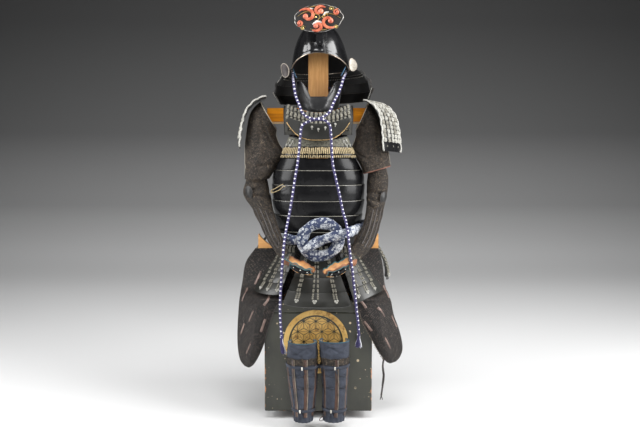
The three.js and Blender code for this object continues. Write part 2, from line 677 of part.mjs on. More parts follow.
// ---------------------------------------------------------------- thigh guards
// A thigh guard hangs from the hip board, passes under the skirt and over the chest's corner.
// Each row is a line across it: its inner end, its middle and its outer end.
const THIGH_GUARDS = {
  right: [
    { z: 604, inX: 60, inY: 1, midX: 156, midY: 1, outX: 250, outY: 1 },
    { z: 548, inX: 72, inY: -52, midX: 176, midY: -30, outX: 288, outY: -10 },
    { z: 474, inX: 108, inY: -130, midX: 203, midY: -68, outX: 301, outY: -20 },
    { z: 447, inX: 132, inY: -158, midX: 212, midY: -112, outX: 305, outY: -34 },
    { z: 437, inX: 139, inY: -196, midX: 214, midY: -188, outX: 306, outY: -44 },
    { z: 424, inX: 148, inY: -197, midX: 224, midY: -194, outX: 307, outY: -56 },
    { z: 400, inX: 164, inY: -200, midX: 238, midY: -196, outX: 310, outY: -68 },
    { z: 330, inX: 190, inY: -201, midX: 241, midY: -205, outX: 314, outY: -84 },
    { z: 263, inX: 209, inY: -201, midX: 247, midY: -203, outX: 316, outY: -90 },
    { z: 214, inX: 230, inY: -199, midX: 259, midY: -192, outX: 312, outY: -104 },
    { z: 182, inX: 250, inY: -190, midX: 269, midY: -178, outX: 302, outY: -124 },
    { z: 168, inX: 266, inY: -174, midX: 274, midY: -167, outX: 285, outY: -150 },
  ],
  left: [
    { z: 604, inX: 60, inY: 1, midX: 148, midY: 1, outX: 238, outY: 1 },
    { z: 548, inX: 72, inY: -52, midX: 164, midY: -32, outX: 254, outY: -12 },
    { z: 474, inX: 104, inY: -130, midX: 184, midY: -76, outX: 261, outY: -32 },
    { z: 447, inX: 122, inY: -158, midX: 198, midY: -112, outX: 267, outY: -42 },
    { z: 437, inX: 129, inY: -196, midX: 210, midY: -189, outX: 272, outY: -52 },
    { z: 424, inX: 137, inY: -197, midX: 218, midY: -193, outX: 277, outY: -60 },
    { z: 400, inX: 152, inY: -200, midX: 232, midY: -194, outX: 285, outY: -70 },
    { z: 350, inX: 170, inY: -201, midX: 236, midY: -204, outX: 295, outY: -78 },
    { z: 300, inX: 196, inY: -201, midX: 243, midY: -205, outX: 313, outY: -86 },
    { z: 250, inX: 222, inY: -200, midX: 256, midY: -198, outX: 326, outY: -94 },
    { z: 215, inX: 244, inY: -194, midX: 269, midY: -186, outX: 327, outY: -104 },
    { z: 192, inX: 262, inY: -180, midX: 281, midY: -169, outX: 315, outY: -122 },
    { z: 182, inX: 276, inY: -166, midX: 286, midY: -157, outX: 299, outY: -142 },
  ],
};
const THIGH_THICK = 4;

function thighGuards() {
  const across = steps(8);
  for (const hand of [-1, 1]) {
    const lines = THIGH_GUARDS[sideName(hand)];
    const middle = lines.map((row) => across.map((u) => {
      const bend = (a, m, b) => {
        const smooth = (1 - u) ** 2 * a + 2 * u * (1 - u) * (2 * m - (a + b) / 2) + u * u * b;
        const folded = u < 0.5 ? mix(a, m, 2 * u) : mix(m, b, 2 * u - 1);
        return mix(folded, smooth, 0.35);
      };
      const x = bend(row.inX, row.midX, row.outX);
      const y = bend(row.inY, row.midY, row.outY);
      return at(hand * x, y, row.z);
    }));
    add(`thigh_guard_${sideName(hand)}`, "armourCloth", thicken(middle, THIGH_THICK));
  }
  const tie = [
    at(252, -184, 210), at(247, -183, 176), at(250, -190, 140), at(246, -192, 100), at(241, -194, 62),
  ];
  add("thigh_guard_tie", "armourCloth",
    rope(tie, { wide: 9, deep: 3, sides: 6, length: 22, face: () => at(0.2, -1, 0).normalize() }));
}

// A wall of even thickness about a grid of points.
function thicken(grid, thick) {
  const rows = grid.length;
  const columns = grid[0].length;
  const shift = (r, c, side) => {
    const down = grid[Math.min(r + 1, rows - 1)][c].clone().sub(grid[Math.max(r - 1, 0)][c]);
    const over = grid[r][Math.min(c + 1, columns - 1)].clone().sub(grid[r][Math.max(c - 1, 0)]);
    return grid[r][c].clone().addScaledVector(over.cross(down).normalize(), (side * thick) / 2);
  };
  const layer = (side) => grid.map((row, r) => row.map((_, c) => shift(r, c, side)));
  return wall(layer(1), layer(-1));
}

// ---------------------------------------------------------------- shin guards
// Rings of a shin guard from its top to its foot. It is open at the back.
const SHINS = {
  right: [
    { z: 283, x: -59, y: -236, wide: 54, deep: 46 },
    { z: 240, x: -60, y: -244, wide: 57, deep: 48 },
    { z: 200, x: -60, y: -253, wide: 56, deep: 48 },
    { z: 120, x: -57, y: -272, wide: 50, deep: 45 },
    { z: 60, x: -55, y: -287, wide: 40, deep: 41 },
    { z: 0, x: -55, y: -298, wide: 36, deep: 38 },
  ],
  left: [
    { z: 288, x: 60, y: -236, wide: 57, deep: 46 },
    { z: 240, x: 61, y: -244, wide: 54, deep: 47 },
    { z: 200, x: 62, y: -253, wide: 50, deep: 46 },
    { z: 120, x: 62, y: -271, wide: 43, deep: 44 },
    { z: 60, x: 60, y: -285, wide: 42, deep: 42 },
    { z: 0, x: 57, y: -294, wide: 40, deep: 40 },
  ],
};

function shinGuards() {
  const reach = 128; // how far round it wraps from the front, each way
  for (const [side, rings] of Object.entries(SHINS)) {
    const high = rings[0].z;
    const place = (v, u, out) => {
      const z = high * (1 - v);
      const take = (column) => read(rings, column, z);
      const turn = mix(-reach, reach, u);
      const p = ringRound(turn, take("wide") + out, take("deep") + out, z, take("y"));
      return p.add(at(take("x"), 0, 0));
    };
    add(`shin_guard_${side}`, "indigo", sheet(6, steps(14), CLOTH, place));
  }
}

// ---------------------------------------------------------------- sash
const SASH = { z: 680, slope: 18, wide: 42, deep: 27 };
const outFromWaist = (p) => at(p.x, p.y, 0).normalize();

function sash() {
  const band = [at(-46, -152, 654), at(-92, -142, 655)];
  for (let angle = -56; angle >= -312; angle -= 25.6) {
    const front = Math.max(0, Math.cos(rad(angle)));
    const z = SASH.z + SASH.slope * Math.sin(rad(angle)) - 10 * front;
    const gap = SASH.deep / 2 + 3.4;
    band.push(ring(angle, read(TORSO, "wide", z) + gap, read(TORSO, "deep", z) + gap, z));
  }
  // It comes forward on the wearer's left and crosses over the loop.
  band.push(
    at(137, -142, 692), at(128, -176, 692), at(96, -205, 686), at(58, -206, 676),
    at(24, -193, 664), at(-10, -193, 650), at(-36, -206, 636), at(-64, -210, 618),
  );
  add("sash_band", "sash",
    rope(band, { wide: 38, deep: 25, sides: 8, length: 33, face: outFromWaist }));

  const loop = steps(12).slice(0, -1).map((u) => {
    const turn = u * 2 * Math.PI;
    return at(9 + 70 * Math.cos(turn), -179, 661 + 62 * Math.sin(turn) + 6 * Math.cos(turn));
  });
  const knotFace = () => at(0, -1, 0);
  add("sash_loop", "sash",
    rope(loop, { ...SASH, sides: 8, closed: true, length: 26, face: knotFace }));
}

// ---------------------------------------------------------------- helmet cords
const CORD = { thick: 10, sides: 8, pieces: 40 };
// Each cord hangs from the helmet's temple, crosses under the chin and falls on the other side.
const CORDS = {
  right: [
    [-99, 0, 1300], [-99, -20, 1283], [-97, -50, 1268], [-95, -78, 1256], [-92, -95, 1234], [-86, -103, 1203], [-72, -126, 1168], [-58, -152, 1135],
    [-32, -169, 1117], [-6, -171, 1113], [22, -167, 1110], [42, -161, 1092], [47, -158, 1060],
    [50, -153, 1010], [54, -152, 950], [66, -158, 890], [80, -159, 830], [92, -160, 770],
    [104, -194, 728], [110, -230, 690], [114, -246, 650], [119, -253, 605], [126, -256, 555],
    [132, -252, 500], [138, -248, 450], [143, -246, 400], [148, -244, 360], [151, -243, 318],
  ],
  left: [
    [109, 0, 1305], [107, -20, 1293], [102, -50, 1284], [96, -78, 1271], [89, -96, 1246], [78, -110, 1216], [58, -134, 1176], [40, -152, 1138],
    [16, -157, 1121], [-8, -158, 1113], [-36, -159, 1105], [-60, -160, 1090], [-66, -158, 1060],
    [-71, -153, 1010], [-78, -152, 950], [-88, -157, 890], [-97, -158, 830], [-107, -160, 770],
    [-116, -172, 724], [-122, -200, 690], [-127, -228, 650], [-131, -249, 600], [-135, -250, 550],
    [-138, -246, 500], [-141, -246, 450], [-142, -246, 400], [-140, -244, 350], [-137, -243, 308],
  ],
};
const TASSEL = [
  { drop: 0, radius: 6.5 },
  { drop: 14, radius: 9 },
  { drop: 34, radius: 9.5 },
  { drop: 72, radius: 13 },
];

function cords() {
  const section = new THREE.Shape();
  section.absarc(0, 0, CORD.thick / 2, 0, 2 * Math.PI);
  const profile = TASSEL.map(({ drop, radius }) => new THREE.Vector2(radius, -drop));
  profile.unshift(new THREE.Vector2(0, 0));
  profile.push(new THREE.Vector2(0, -TASSEL[TASSEL.length - 1].drop));
  profile.reverse();
  for (const [side, points] of Object.entries(CORDS)) {
    const path = new THREE.CatmullRomCurve3(points.map((p) => at(...p)), false, "centripetal");
    add(`cord_${side}`, "cord", new THREE.ExtrudeGeometry(section, {
      steps: CORD.pieces,
      extrudePath: path,
      curveSegments: CORD.sides / 2,
    }));
    const [x, y, z] = points[points.length - 1];
    const tassel = new THREE.LatheGeometry(profile, 10);
    add(`tassel_${side}`, "cord", tassel.rotateX(Math.PI / 2).translate(x, y, z - GAP));
  }
}

chest();
stand();
cuirass();
tassets();
helmet();
mask();
throatGuard();
sleeves();
shoulderGuards();
thighGuards();
shinGuards();
sash();
cords();

export default armour;
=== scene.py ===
"""Looks of the samurai armour on its chest and stand.

Lengths in this file are in millimetres, in the row frame, and become metres in Shape.build.
-Y is the way the wearer would face, +X is the wearer's left side, and the floor is at z = 0.
"""

import math
import random

import bpy
from mathutils import Matrix, Vector, noise


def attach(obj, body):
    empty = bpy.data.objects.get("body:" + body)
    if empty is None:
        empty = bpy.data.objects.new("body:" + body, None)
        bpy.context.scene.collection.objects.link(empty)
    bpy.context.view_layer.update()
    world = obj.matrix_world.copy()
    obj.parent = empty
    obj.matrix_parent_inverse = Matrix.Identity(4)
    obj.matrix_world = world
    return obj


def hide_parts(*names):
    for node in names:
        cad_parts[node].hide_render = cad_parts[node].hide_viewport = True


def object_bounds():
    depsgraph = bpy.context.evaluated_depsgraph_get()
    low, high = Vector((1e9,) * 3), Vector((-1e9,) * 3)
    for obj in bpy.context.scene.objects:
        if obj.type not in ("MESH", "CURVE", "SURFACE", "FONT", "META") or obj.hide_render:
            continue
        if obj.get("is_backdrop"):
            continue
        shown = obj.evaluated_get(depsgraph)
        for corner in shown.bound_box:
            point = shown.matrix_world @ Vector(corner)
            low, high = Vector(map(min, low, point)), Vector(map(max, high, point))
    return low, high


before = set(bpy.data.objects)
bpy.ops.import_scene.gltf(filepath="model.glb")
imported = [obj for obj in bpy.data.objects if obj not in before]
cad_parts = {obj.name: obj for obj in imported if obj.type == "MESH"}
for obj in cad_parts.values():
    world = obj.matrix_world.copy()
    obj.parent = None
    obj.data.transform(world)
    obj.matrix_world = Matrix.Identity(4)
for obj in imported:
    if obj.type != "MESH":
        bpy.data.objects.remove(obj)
CAD_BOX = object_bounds()
MM = 0.001


# ---------------------------------------------------------------- camera
def add_camera():
    data = bpy.data.cameras.new("camera")
    data.lens = 45.28
    data.sensor_width = 36
    camera = bpy.data.objects.new("camera", data)
    camera.location = (0.0066, -3.2, 1.03)
    camera.rotation_euler = (math.radians(90 - 5.11), 0, 0)
    bpy.context.collection.objects.link(camera)
    bpy.context.scene.camera = camera


add_camera()


# ---------------------------------------------------------------- curves and tables
def mix(a, b, share):
    return a + (b - a) * share


def clamp(value, low=0.0, high=1.0):
    return max(low, min(high, value))


def smooth(value):
    value = clamp(value)
    return value * value * (3 - 2 * value)


def steps(count, low=0.0, high=1.0):
    return [low + (high - low) * i / count for i in range(count + 1)]


def table(columns, *rows):
    """Rows of numbers as dicts with the columns' names."""
    return [dict(zip(columns.split(), row)) for row in rows]


def read(rows, column, z):
    """A column of a table whose rows run by falling z, read at a height between its rows."""
    if z >= rows[0]["z"]:
        return rows[0][column]
    for above, below in zip(rows, rows[1:]):
        if z >= below["z"]:
            share = (above["z"] - z) / (above["z"] - below["z"])
            return mix(above[column], below[column], share)
    return rows[-1][column]


def read_soft(rows, column, z, reach):
    """The same, with the corners between the rows rounded over that reach."""
    return (read(rows, column, z - reach) + 2 * read(rows, column, z) + read(rows, column, z + reach)) / 4


def circle(count):
    """Angles in radians, equally far apart."""
    return [2 * math.pi * k / count for k in range(count)]


def oval(middle, side, out, turn, wide, deep, size=1):
    """The point of an oval round a middle at that angle."""
    return middle + side * (math.cos(turn) * wide / 2 * size) + out * (math.sin(turn) * deep / 2 * size)


def loft(rings, sides, closed=False, ends=True):
    """Faces between rings of points; closed joins the last ring to the first."""
    faces = []
    for i in range(rings if closed else rings - 1):
        here, there = i * sides, (i + 1) % rings * sides
        for k in range(sides):
            after = (k + 1) % sides
            faces.append([here + k, here + after, there + after, there + k])
    if ends and not closed:
        last = (rings - 1) * sides
        faces += [list(range(sides))[::-1], [last + k for k in range(sides)]]
    return faces


class Spline:
    """A centripetal Catmull-Rom curve, read by its length."""

    def __init__(self, points, closed=False, fine=24):
        points = [Vector(p) for p in points]
        if closed:
            points = [points[-1], *points, points[0], points[1]]
        else:
            first = points[0] * 2 - points[1]
            last = points[-1] * 2 - points[-2]
            points = [first, *points, last]
        self.line = []
        for a, b, c, d in zip(points, points[1:], points[2:], points[3:]):
            self.line += [self.between(a, b, c, d, i / fine) for i in range(fine)]
        self.line.append(points[-2].copy())
        self.run = [0.0]
        for a, b in zip(self.line, self.line[1:]):
            self.run.append(self.run[-1] + (b - a).length)
        self.length = self.run[-1]

    @staticmethod
    def between(a, b, c, d, t):
        gap_1, gap_2, gap_3 = (max((q - p).length, 1e-6) ** 0.5 for p, q in ((a, b), (b, c), (c, d)))
        into = ((b - a) / gap_1 - (c - a) / (gap_1 + gap_2) + (c - b) / gap_2) * gap_2
        away = ((c - b) / gap_2 - (d - b) / (gap_2 + gap_3) + (d - c) / gap_3) * gap_2
        turn = 2 * (b - c) + into + away
        return b + into * t + (3 * (c - b) - 2 * into - away) * t * t + turn * t**3

    def at(self, share):
        want = clamp(share) * self.length
        low, high = 0, len(self.run) - 1
        while high - low > 1:
            middle = (low + high) // 2
            if self.run[middle] <= want:
                low = middle
            else:
                high = middle
        span = self.run[high] - self.run[low]
        return self.line[low].lerp(self.line[high], (want - self.run[low]) / max(span, 1e-9))

    def along(self, share):
        step = 0.004
        return (self.at(share + step) - self.at(share - step)).normalized()


# ---------------------------------------------------------------- building meshes
class Shape:
    """Vertices, faces, materials and texture places of one piece, in millimetres."""

    def __init__(self):
        self.points, self.places, self.faces, self.skins, self.seams = [], [], [], [], []

    def put(self, points, places, faces, skin=0, seam=None):
        """seam: what the texture place 0 stands for in a face that closes a ring."""
        base = len(self.points)
        self.points += [tuple(p) for p in points]
        self.places += places
        reach = seam / 2 if seam else 0
        for i, face in enumerate(faces):
            self.faces.append([base + k for k in face])
            self.skins.append(skin[i] if isinstance(skin, list) else skin)
            us = [places[k][0] for k in face]
            self.seams.append(seam if seam and max(us) - min(us) > reach else None)

    def sweep(self, place, us, section, skins, scale):
        """A closed section of (v, out) pairs carried along u, with flat ends and a skin for each side."""
        count = len(section)
        points = [place(u, v, out) for u in us for v, out in section]
        places = [(u * scale[0], v * scale[1]) for u in us for v, _ in section]
        self.put(points, places, loft(len(us), count), skins * (len(us) - 1) + skins[:1] * 2)

    def sheet(self, place, us, vs, thick, skin=0, inner=None, edge=None, closed=False, scale=(1, 1)):
        """A wall from place(u, v, out): its outer face at out 0, its inner at -thick."""
        inner = skin if inner is None else inner
        edge = skin if edge is None else edge
        across, down = len(us), len(vs)
        points, places = [], []
        for out in (0, -thick):
            for v in vs:
                for u in us:
                    points.append(place(u, v, out))
                    places.append((u * scale[0], v * scale[1]))
        faces, chosen = [], []

        def index(side, row, column):
            return (side * down + row) * across + column % across

        spans = across if closed else across - 1
        for r in range(down - 1):
            for c in range(spans):
                faces.append([index(0, r, c), index(0, r + 1, c), index(0, r + 1, c + 1), index(0, r, c + 1)])
                faces.append([index(1, r, c), index(1, r, c + 1), index(1, r + 1, c + 1), index(1, r + 1, c)])
                chosen += [skin, inner]
        for c in range(spans):
            faces.append([index(0, 0, c + 1), index(1, 0, c + 1), index(1, 0, c), index(0, 0, c)])
            low = down - 1
            faces.append([index(0, low, c), index(1, low, c), index(1, low, c + 1), index(0, low, c + 1)])
            chosen += [edge, edge]
        if not closed:
            end = across - 1
            for r in range(down - 1):
                faces.append([index(0, r, 0), index(1, r, 0), index(1, r + 1, 0), index(0, r + 1, 0)])
                faces.append([index(0, r + 1, end), index(1, r + 1, end), index(1, r, end), index(0, r, end)])
                chosen += [edge, edge]
        self.put(points, places, faces, chosen, scale[0] if closed else None)

    def tube(self, path, wide, deep=None, sides=8, skin=0, face=None, closed=False, taper=None):
        """A rope along points. face(point, share) is the way its flat side looks."""
        deep = wide if deep is None else deep
        path = [Vector(p) for p in path]
        last = len(path) - 1
        side = Vector((1, 0, 0))
        points, places, run = [], [], 0.0
        for i, middle in enumerate(path):
            if closed:
                along = path[(i + 1) % len(path)] - path[i - 1]
            else:
                along = path[min(i + 1, last)] - path[max(i - 1, 0)]
            along.normalize()
            if face:
                side = along.cross(Vector(face(middle, i / last))).normalized()
            else:
                side = side - along * side.dot(along)
                if side.length < 1e-3:
                    side = along.orthogonal()
                side.normalize()
            out = side.cross(along)
            size = taper(i / last) if taper else 1
            run += (middle - path[i - 1]).length if i else 0
            points += [oval(middle, side, out, turn, wide, deep, size) for turn in circle(sides)]
            places += [(k / sides, run) for k in range(sides)]
        self.put(points, places, loft(len(path), sides, closed), skin, seam=1)

    def blob(self, middle, size, skin=0, rings=5, sides=8, axes=None):
        """A small round piece, such as a knot or a rivet."""
        middle = Vector(middle)
        x, y, z = axes or (Vector((1, 0, 0)), Vector((0, 1, 0)), Vector((0, 0, 1)))
        points, places, faces = [], [], []
        for r in range(1, rings):
            tilt = math.pi * r / rings
            wide, deep, high = size[0] * math.sin(tilt), size[1] * math.sin(tilt), size[2] * math.cos(tilt)
            for k, turn in enumerate(circle(sides)):
                points.append(middle + x * (wide * math.cos(turn)) + y * (deep * math.sin(turn)) + z * high)
                places.append((k / sides, r / rings))
        top, low = len(points), len(points) + 1
        points += [middle + z * size[2], middle - z * size[2]]
        places += [(0, 0), (0, 1)]
        for r in range(rings - 2):
            for k in range(sides):
                a, b = r * sides + k, r * sides + (k + 1) % sides
                faces.append([a, a + sides, b + sides, b])
        for k in range(sides):
            faces.append([top, k, (k + 1) % sides])
            base = (rings - 2) * sides
            faces.append([low, base + (k + 1) % sides, base + k])
        self.put(points, places, faces, skin)

    def slab(self, outline, low, high, place, skin=0, round_by=0.0):
        """A flat outline given thickness: place(x, y, height) puts a point in the row frame."""
        count = len(outline)
        cx = sum(p[0] for p in outline) / count
        cy = sum(p[1] for p in outline) / count

        def drawn_in(by):
            result = []
            for x, y in outline:
                far = math.hypot(x - cx, y - cy) or 1
                share = max(0, 1 - by / far)
                result.append((cx + (x - cx) * share, cy + (y - cy) * share))
            return result

        if round_by:
            levels = [(low, round_by), (low + round_by, 0), (high - round_by, 0), (high, round_by)]
        else:
            levels = [(low, 0), (high, 0)]
        points = [place(x, y, h) for h, by in levels for x, y in drawn_in(by)]
        places = [p for _, by in levels for p in drawn_in(by)]
        *walls, foot, top = loft(len(levels), count)
        self.put(points, places, [foot, *walls, top], skin)

    def build(self, name, skins, slot, nodes=(), smooth_angle=38):
        """The object, riding on the stand, in place of the CAD nodes named."""
        mesh = bpy.data.meshes.new(name)
        mesh.from_pydata([tuple(c * MM for c in p) for p in self.points], [], self.faces)
        for skin in skins:
            mesh.materials.append(skin)
        mesh.polygons.foreach_set("material_index", self.skins)
        layer = mesh.uv_layers.new(name="places")
        flat = []
        for face, seam in zip(self.faces, self.seams):
            for k in face:
                u, v = self.places[k]
                flat += (seam if seam and u == 0 else u, v)
        layer.data.foreach_set("uv", flat)
        mesh.validate()
        mesh.shade_smooth()
        mesh.set_sharp_from_angle(angle=math.radians(smooth_angle))
        obj = bpy.data.objects.new(name, mesh)
        bpy.context.collection.objects.link(obj)
        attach(obj, "root")
        if nodes:
            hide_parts(*nodes)
        return obj


# ---------------------------------------------------------------- materials
class Look:
    """A material's nodes. Sizes in texture places are in millimetres where the mesh gives them so."""

    def __init__(self, name, base, rough=0.5, metal=0.0, **more):
        self.material = bpy.data.materials.new(name)
        self.material.use_nodes = True
        self.tree = self.material.node_tree
        self.shader = self.tree.nodes["Principled BSDF"]
        self.material.diffuse_color = (*base, 1)
        self.shader.inputs["Base Color"].default_value = (*base, 1)
        self.shader.inputs["Roughness"].default_value = rough
        self.shader.inputs["Metallic"].default_value = metal
        for key, value in more.items():
            self.shader.inputs[key.replace("_", " ")].default_value = value

    def node(self, kind, links=None, **settings):
        node = self.tree.nodes.new(kind)
        for key, value in settings.items():
            setattr(node, key, value)
        for key, value in (links or {}).items():
            socket = node.inputs[key]
            if isinstance(value, bpy.types.NodeSocket):
                self.tree.links.new(value, socket)
            else:
                socket.default_value = value
        return node

    def spot(self, stretch=(1, 1, 1), uv=False, turn=0.0):
        """Places on the surface: in metres in space, or from the mesh's own layer."""
        if uv:
            source = self.node("ShaderNodeUVMap", uv_map="places").outputs[0]
        else:
            source = self.node("ShaderNodeTexCoord").outputs["Object"]
        links = {"Vector": source, "Scale": stretch, "Rotation": (0, 0, turn)}
        return self.node("ShaderNodeMapping", links).outputs[0]

    def grain(self, scale, where=None, detail=3.0, rough=0.55, warp=0.0):
        where = where or self.spot()
        links = {"Vector": where, "Scale": scale, "Detail": detail, "Roughness": rough, "Distortion": warp}
        return self.node("ShaderNodeTexNoise", links).outputs["Fac"]

    def cells(self, scale, where=None, feature="F1", spread=1.0):
        where = where or self.spot()
        links = {"Vector": where, "Scale": scale, "Randomness": spread}
        return self.node("ShaderNodeTexVoronoi", links, feature=feature).outputs["Distance"]

    def bands(self, scale, where=None, direction="X", warp=0.0):
        where = where or self.spot()
        links = {"Vector": where, "Scale": scale, "Distortion": warp, "Detail": 1.0}
        return self.node("ShaderNodeTexWave", links, bands_direction=direction).outputs["Fac"]

    def math(self, way, a, b=0.0):
        return self.node("ShaderNodeMath", {0: a, 1: b, 2: 0.0}, operation=way).outputs[0]

    def times(self, a, b):
        return self.math("MULTIPLY", a, b)

    def plus(self, a, b):
        return self.math("ADD", a, b)

    def ramp(self, factor, *stops):
        """Grey or coloured stops, each (place, value)."""
        node = self.node("ShaderNodeValToRGB", {"Fac": factor})
        bar = node.color_ramp
        while len(bar.elements) < len(stops):
            bar.elements.new(0.5)
        for element, (place, colour) in zip(bar.elements, stops):
            element.position = place
            grey = isinstance(colour, (int, float))
            element.color = (colour, colour, colour, 1) if grey else (*colour, 1)
        return node.outputs[0]

    def blend(self, factor, a, b, way="MIX"):
        node = self.node("ShaderNodeMix", data_type="RGBA", blend_type=way)
        for socket, value in ((node.inputs[0], factor), (node.inputs[6], a), (node.inputs[7], b)):
            if isinstance(value, bpy.types.NodeSocket):
                self.tree.links.new(value, socket)
            elif isinstance(value, tuple):
                socket.default_value = (*value, 1)
            else:
                socket.default_value = value
        return node.outputs[2]

    def fade(self, factor, start, end, a, b):
        """From one colour to another as the factor goes from start to end."""
        return self.blend(self.ramp(factor, (start, 0.0), (end, 1.0)), a, b)

    def part(self, where, axis):
        return self.node("ShaderNodeSeparateXYZ", {"Vector": where}).outputs[axis]

    def colour(self, value):
        self.tree.links.new(value, self.shader.inputs["Base Color"])
        return self

    def roughness(self, value):
        self.tree.links.new(value, self.shader.inputs["Roughness"])
        return self

    def bump(self, height, depth, strength=1.0):
        links = {"Height": height, "Strength": strength, "Distance": depth}
        normal = self.node("ShaderNodeBump", links).outputs[0]
        self.tree.links.new(normal, self.shader.inputs["Normal"])
        return self


def lacquer(name, base, rough, coat, gleam=0.42):
    look = Look(name, base, rough, Coat_Weight=coat, Coat_Roughness=0.08, Specular_IOR_Level=gleam)
    dull = look.grain(9, detail=5)
    fine = look.grain(420, detail=2)
    look.roughness(look.ramp(dull, (0.3, rough * 0.75), (0.75, min(1, rough * 1.7 + 0.03))))
    tone = tuple(min(1, c * 1.9 + 0.008) for c in base)
    look.colour(look.fade(dull, 0.35, 0.8, base, tone))
    look.bump(look.plus(look.times(fine, 0.15), dull), 0.0006, 0.35)
    return look.material


def braid(name, light, dark, pitch=2.2, rough=0.8):
    """Braided or woven lacing; the texture places run in millimetres along it."""
    look = Look(name, light, rough, Sheen_Weight=0.05, Sheen_Roughness=0.4, Specular_IOR_Level=0.25)
    where = look.spot((900 / pitch, 900 / pitch, 900 / pitch))
    strands = look.bands(1, where, "DIAGONAL", 1.2)
    stain = look.grain(34, detail=4)
    colour = look.fade(strands, 0.15, 0.7, dark, light)
    wear_and_highlight = tuple(c * 0.55 for c in light)
    look.colour(look.blend(look.ramp(stain, (0.35, 0.75), (0.62, 0.0)), colour, wear_and_highlight))
    look.bump(strands, 0.0005, 0.8)
    return look.material


def mail_cloth(name, dark, brown, painted_ring_highlight, turn=38, pitch=1.0):
    """Small blackened rings sewn in slanting rows on brown hemp, rubbed away and dusty in patches; the raised rings
    are painted in a highlight colour, with brighter painted glints on them.
    """
    look = Look(name, brown, 0.62, Specular_IOR_Level=0.35)
    one, two = (
        look.bands(1.0, look.spot((size / pitch, size / pitch, 1), uv=True, turn=math.radians(slant)), "X", 2.6)
        for size, slant in ((0.085, turn), (0.074, -turn))
    )
    kept = look.ramp(look.grain(70, detail=6, rough=0.75), (0.42, 0.15), (0.62, 1.0))
    rings = look.times(look.times(one, two), kept)
    grit = look.grain(150, detail=5, rough=0.75)
    dust = look.grain(30, detail=7, rough=0.72)
    ground = look.fade(dust, 0.36, 0.64, dark, brown)
    # painted highlight: the raised rings take the highlight colour
    raised = look.blend(look.ramp(rings, (0.20, 0.0), (0.66, 0.9)), ground, painted_ring_highlight)
    black = tuple(c * 0.4 for c in dark)
    # painted glints: small bright specks on the rings, brighter than the highlight colour
    painted_glints = look.ramp(look.grain(210, detail=4, rough=0.7), (0.56, 0.0), (0.66, 0.8))
    raised = look.blend(painted_glints, raised, tuple(min(1, c * 1.5) for c in painted_ring_highlight))
    look.colour(look.blend(look.ramp(grit, (0.40, 0.95), (0.55, 0.0)), raised, black))
    look.roughness(look.ramp(rings, (0.15, 0.72), (0.7, 0.30)))
    look.bump(look.plus(rings, look.times(grit, 1.2)), 0.0016, 1.0)
    return look.material


def plain_cloth(name, base, other, scale, rough=0.88, mottle=14, depth=0.0006):
    """Plain woven cloth, with a weave of that pitch in millimetres and an uneven dye."""
    look = Look(name, base, rough, Sheen_Weight=0.05, Sheen_Roughness=0.5)
    size = 1000 * 0.32 / scale
    warp = look.bands(1, look.spot((size, size, size * 0.2)), "X", 0.6)
    weft = look.bands(1, look.spot((size * 0.2, size * 0.2, size)), "Z", 0.6)
    weave = look.plus(warp, weft)
    dye = look.grain(mottle, detail=6, rough=0.65)
    fleck = look.grain(240, detail=3)
    colour = look.fade(dye, 0.33, 0.68, base, other)
    shade = look.ramp(look.plus(look.times(weave, 0.35), look.times(fleck, 0.6)), (0.25, 0.55), (0.75, 1.15))
    look.colour(look.blend(1.0, colour, shade, "MULTIPLY"))
    look.bump(look.plus(weave, fleck), depth, 0.7)
    return look.material


def printed_cloth():
    """Indigo cotton with white blossoms, some of them filled with dots."""
    look = Look("sash_print", (0.04, 0.055, 0.13), 0.82, Sheen_Weight=0.06, Sheen_Roughness=0.5)
    where = look.spot()
    shaken = look.node("ShaderNodeTexNoise", {"Vector": where, "Scale": 95.0, "Detail": 2.0}).outputs["Color"]

    def vector(way, links):
        return look.node("ShaderNodeVectorMath", links, operation=way).outputs[0]

    bent = vector("SCALE", {0: vector("SUBTRACT", {0: shaken, 1: (0.5, 0.5, 0.5)}), "Scale": 0.016})
    moved = vector("ADD", {0: where, 1: bent})
    flowers = look.cells(88, moved)
    petals = look.cells(330, moved)
    leaves = look.cells(210, moved, "F2")
    inside = look.ramp(flowers, (0.40, 1.0), (0.46, 0.0))
    broken = look.ramp(petals, (0.36, 1.0), (0.50, 0.0))
    sprigs = look.ramp(leaves, (0.60, 0.0), (0.68, 0.8))
    strewn = look.times(sprigs, look.ramp(look.grain(24), (0.5, 0.0), (0.6, 0.85)))
    white = look.math("MAXIMUM", look.times(inside, look.plus(broken, 0.25)), strewn)
    dye = look.blend(look.grain(30, detail=4), (0.008, 0.014, 0.040), (0.028, 0.044, 0.105))
    look.colour(look.blend(look.math("MINIMUM", white, 0.97), dye, (0.56, 0.58, 0.59)))
    look.bump(look.grain(90, detail=6), 0.0030, 0.7)
    return look.material


def wood(name, pale, dark, rough, coat, lengthwise="Z", figure=1.0):
    look = Look(name, pale, rough, Coat_Weight=coat, Coat_Roughness=0.2)
    stretch = {"X": (1.6, 26, 26), "Z": (26, 26, 1.6)}[lengthwise]
    grain = look.grain(1.0, look.spot(stretch), detail=7, rough=0.62, warp=0.6 * figure)
    pores = look.grain(9.0, look.spot(stretch), detail=4, rough=0.6)
    board = look.grain(5, detail=2)
    colour = look.fade(grain, 0.34, 0.64, dark, pale)
    colour = look.blend(look.ramp(pores, (0.42, 0.55), (0.55, 0.0)), colour, dark)
    stain = tuple(c * 0.72 for c in pale)
    look.colour(look.blend(look.ramp(board, (0.4, 0.0), (0.75, 0.6)), colour, stain))
    look.roughness(look.ramp(pores, (0.4, min(1, rough * 1.3)), (0.6, rough)))
    look.bump(look.plus(grain, pores), 0.0004, 0.35)
    return look.material


def leather(name, base, dark, rough):
    look = Look(name, base, rough, Coat_Weight=0.1, Coat_Roughness=0.3)
    pebble = look.cells(640)
    stain = look.grain(26, detail=6, rough=0.65)
    look.colour(look.fade(stain, 0.36, 0.66, dark, base))
    look.roughness(look.ramp(stain, (0.3, min(1, rough * 1.4)), (0.7, rough * 0.8)))
    look.bump(look.plus(pebble, look.times(stain, 2.0)), 0.0007, 0.6)
    return look.material


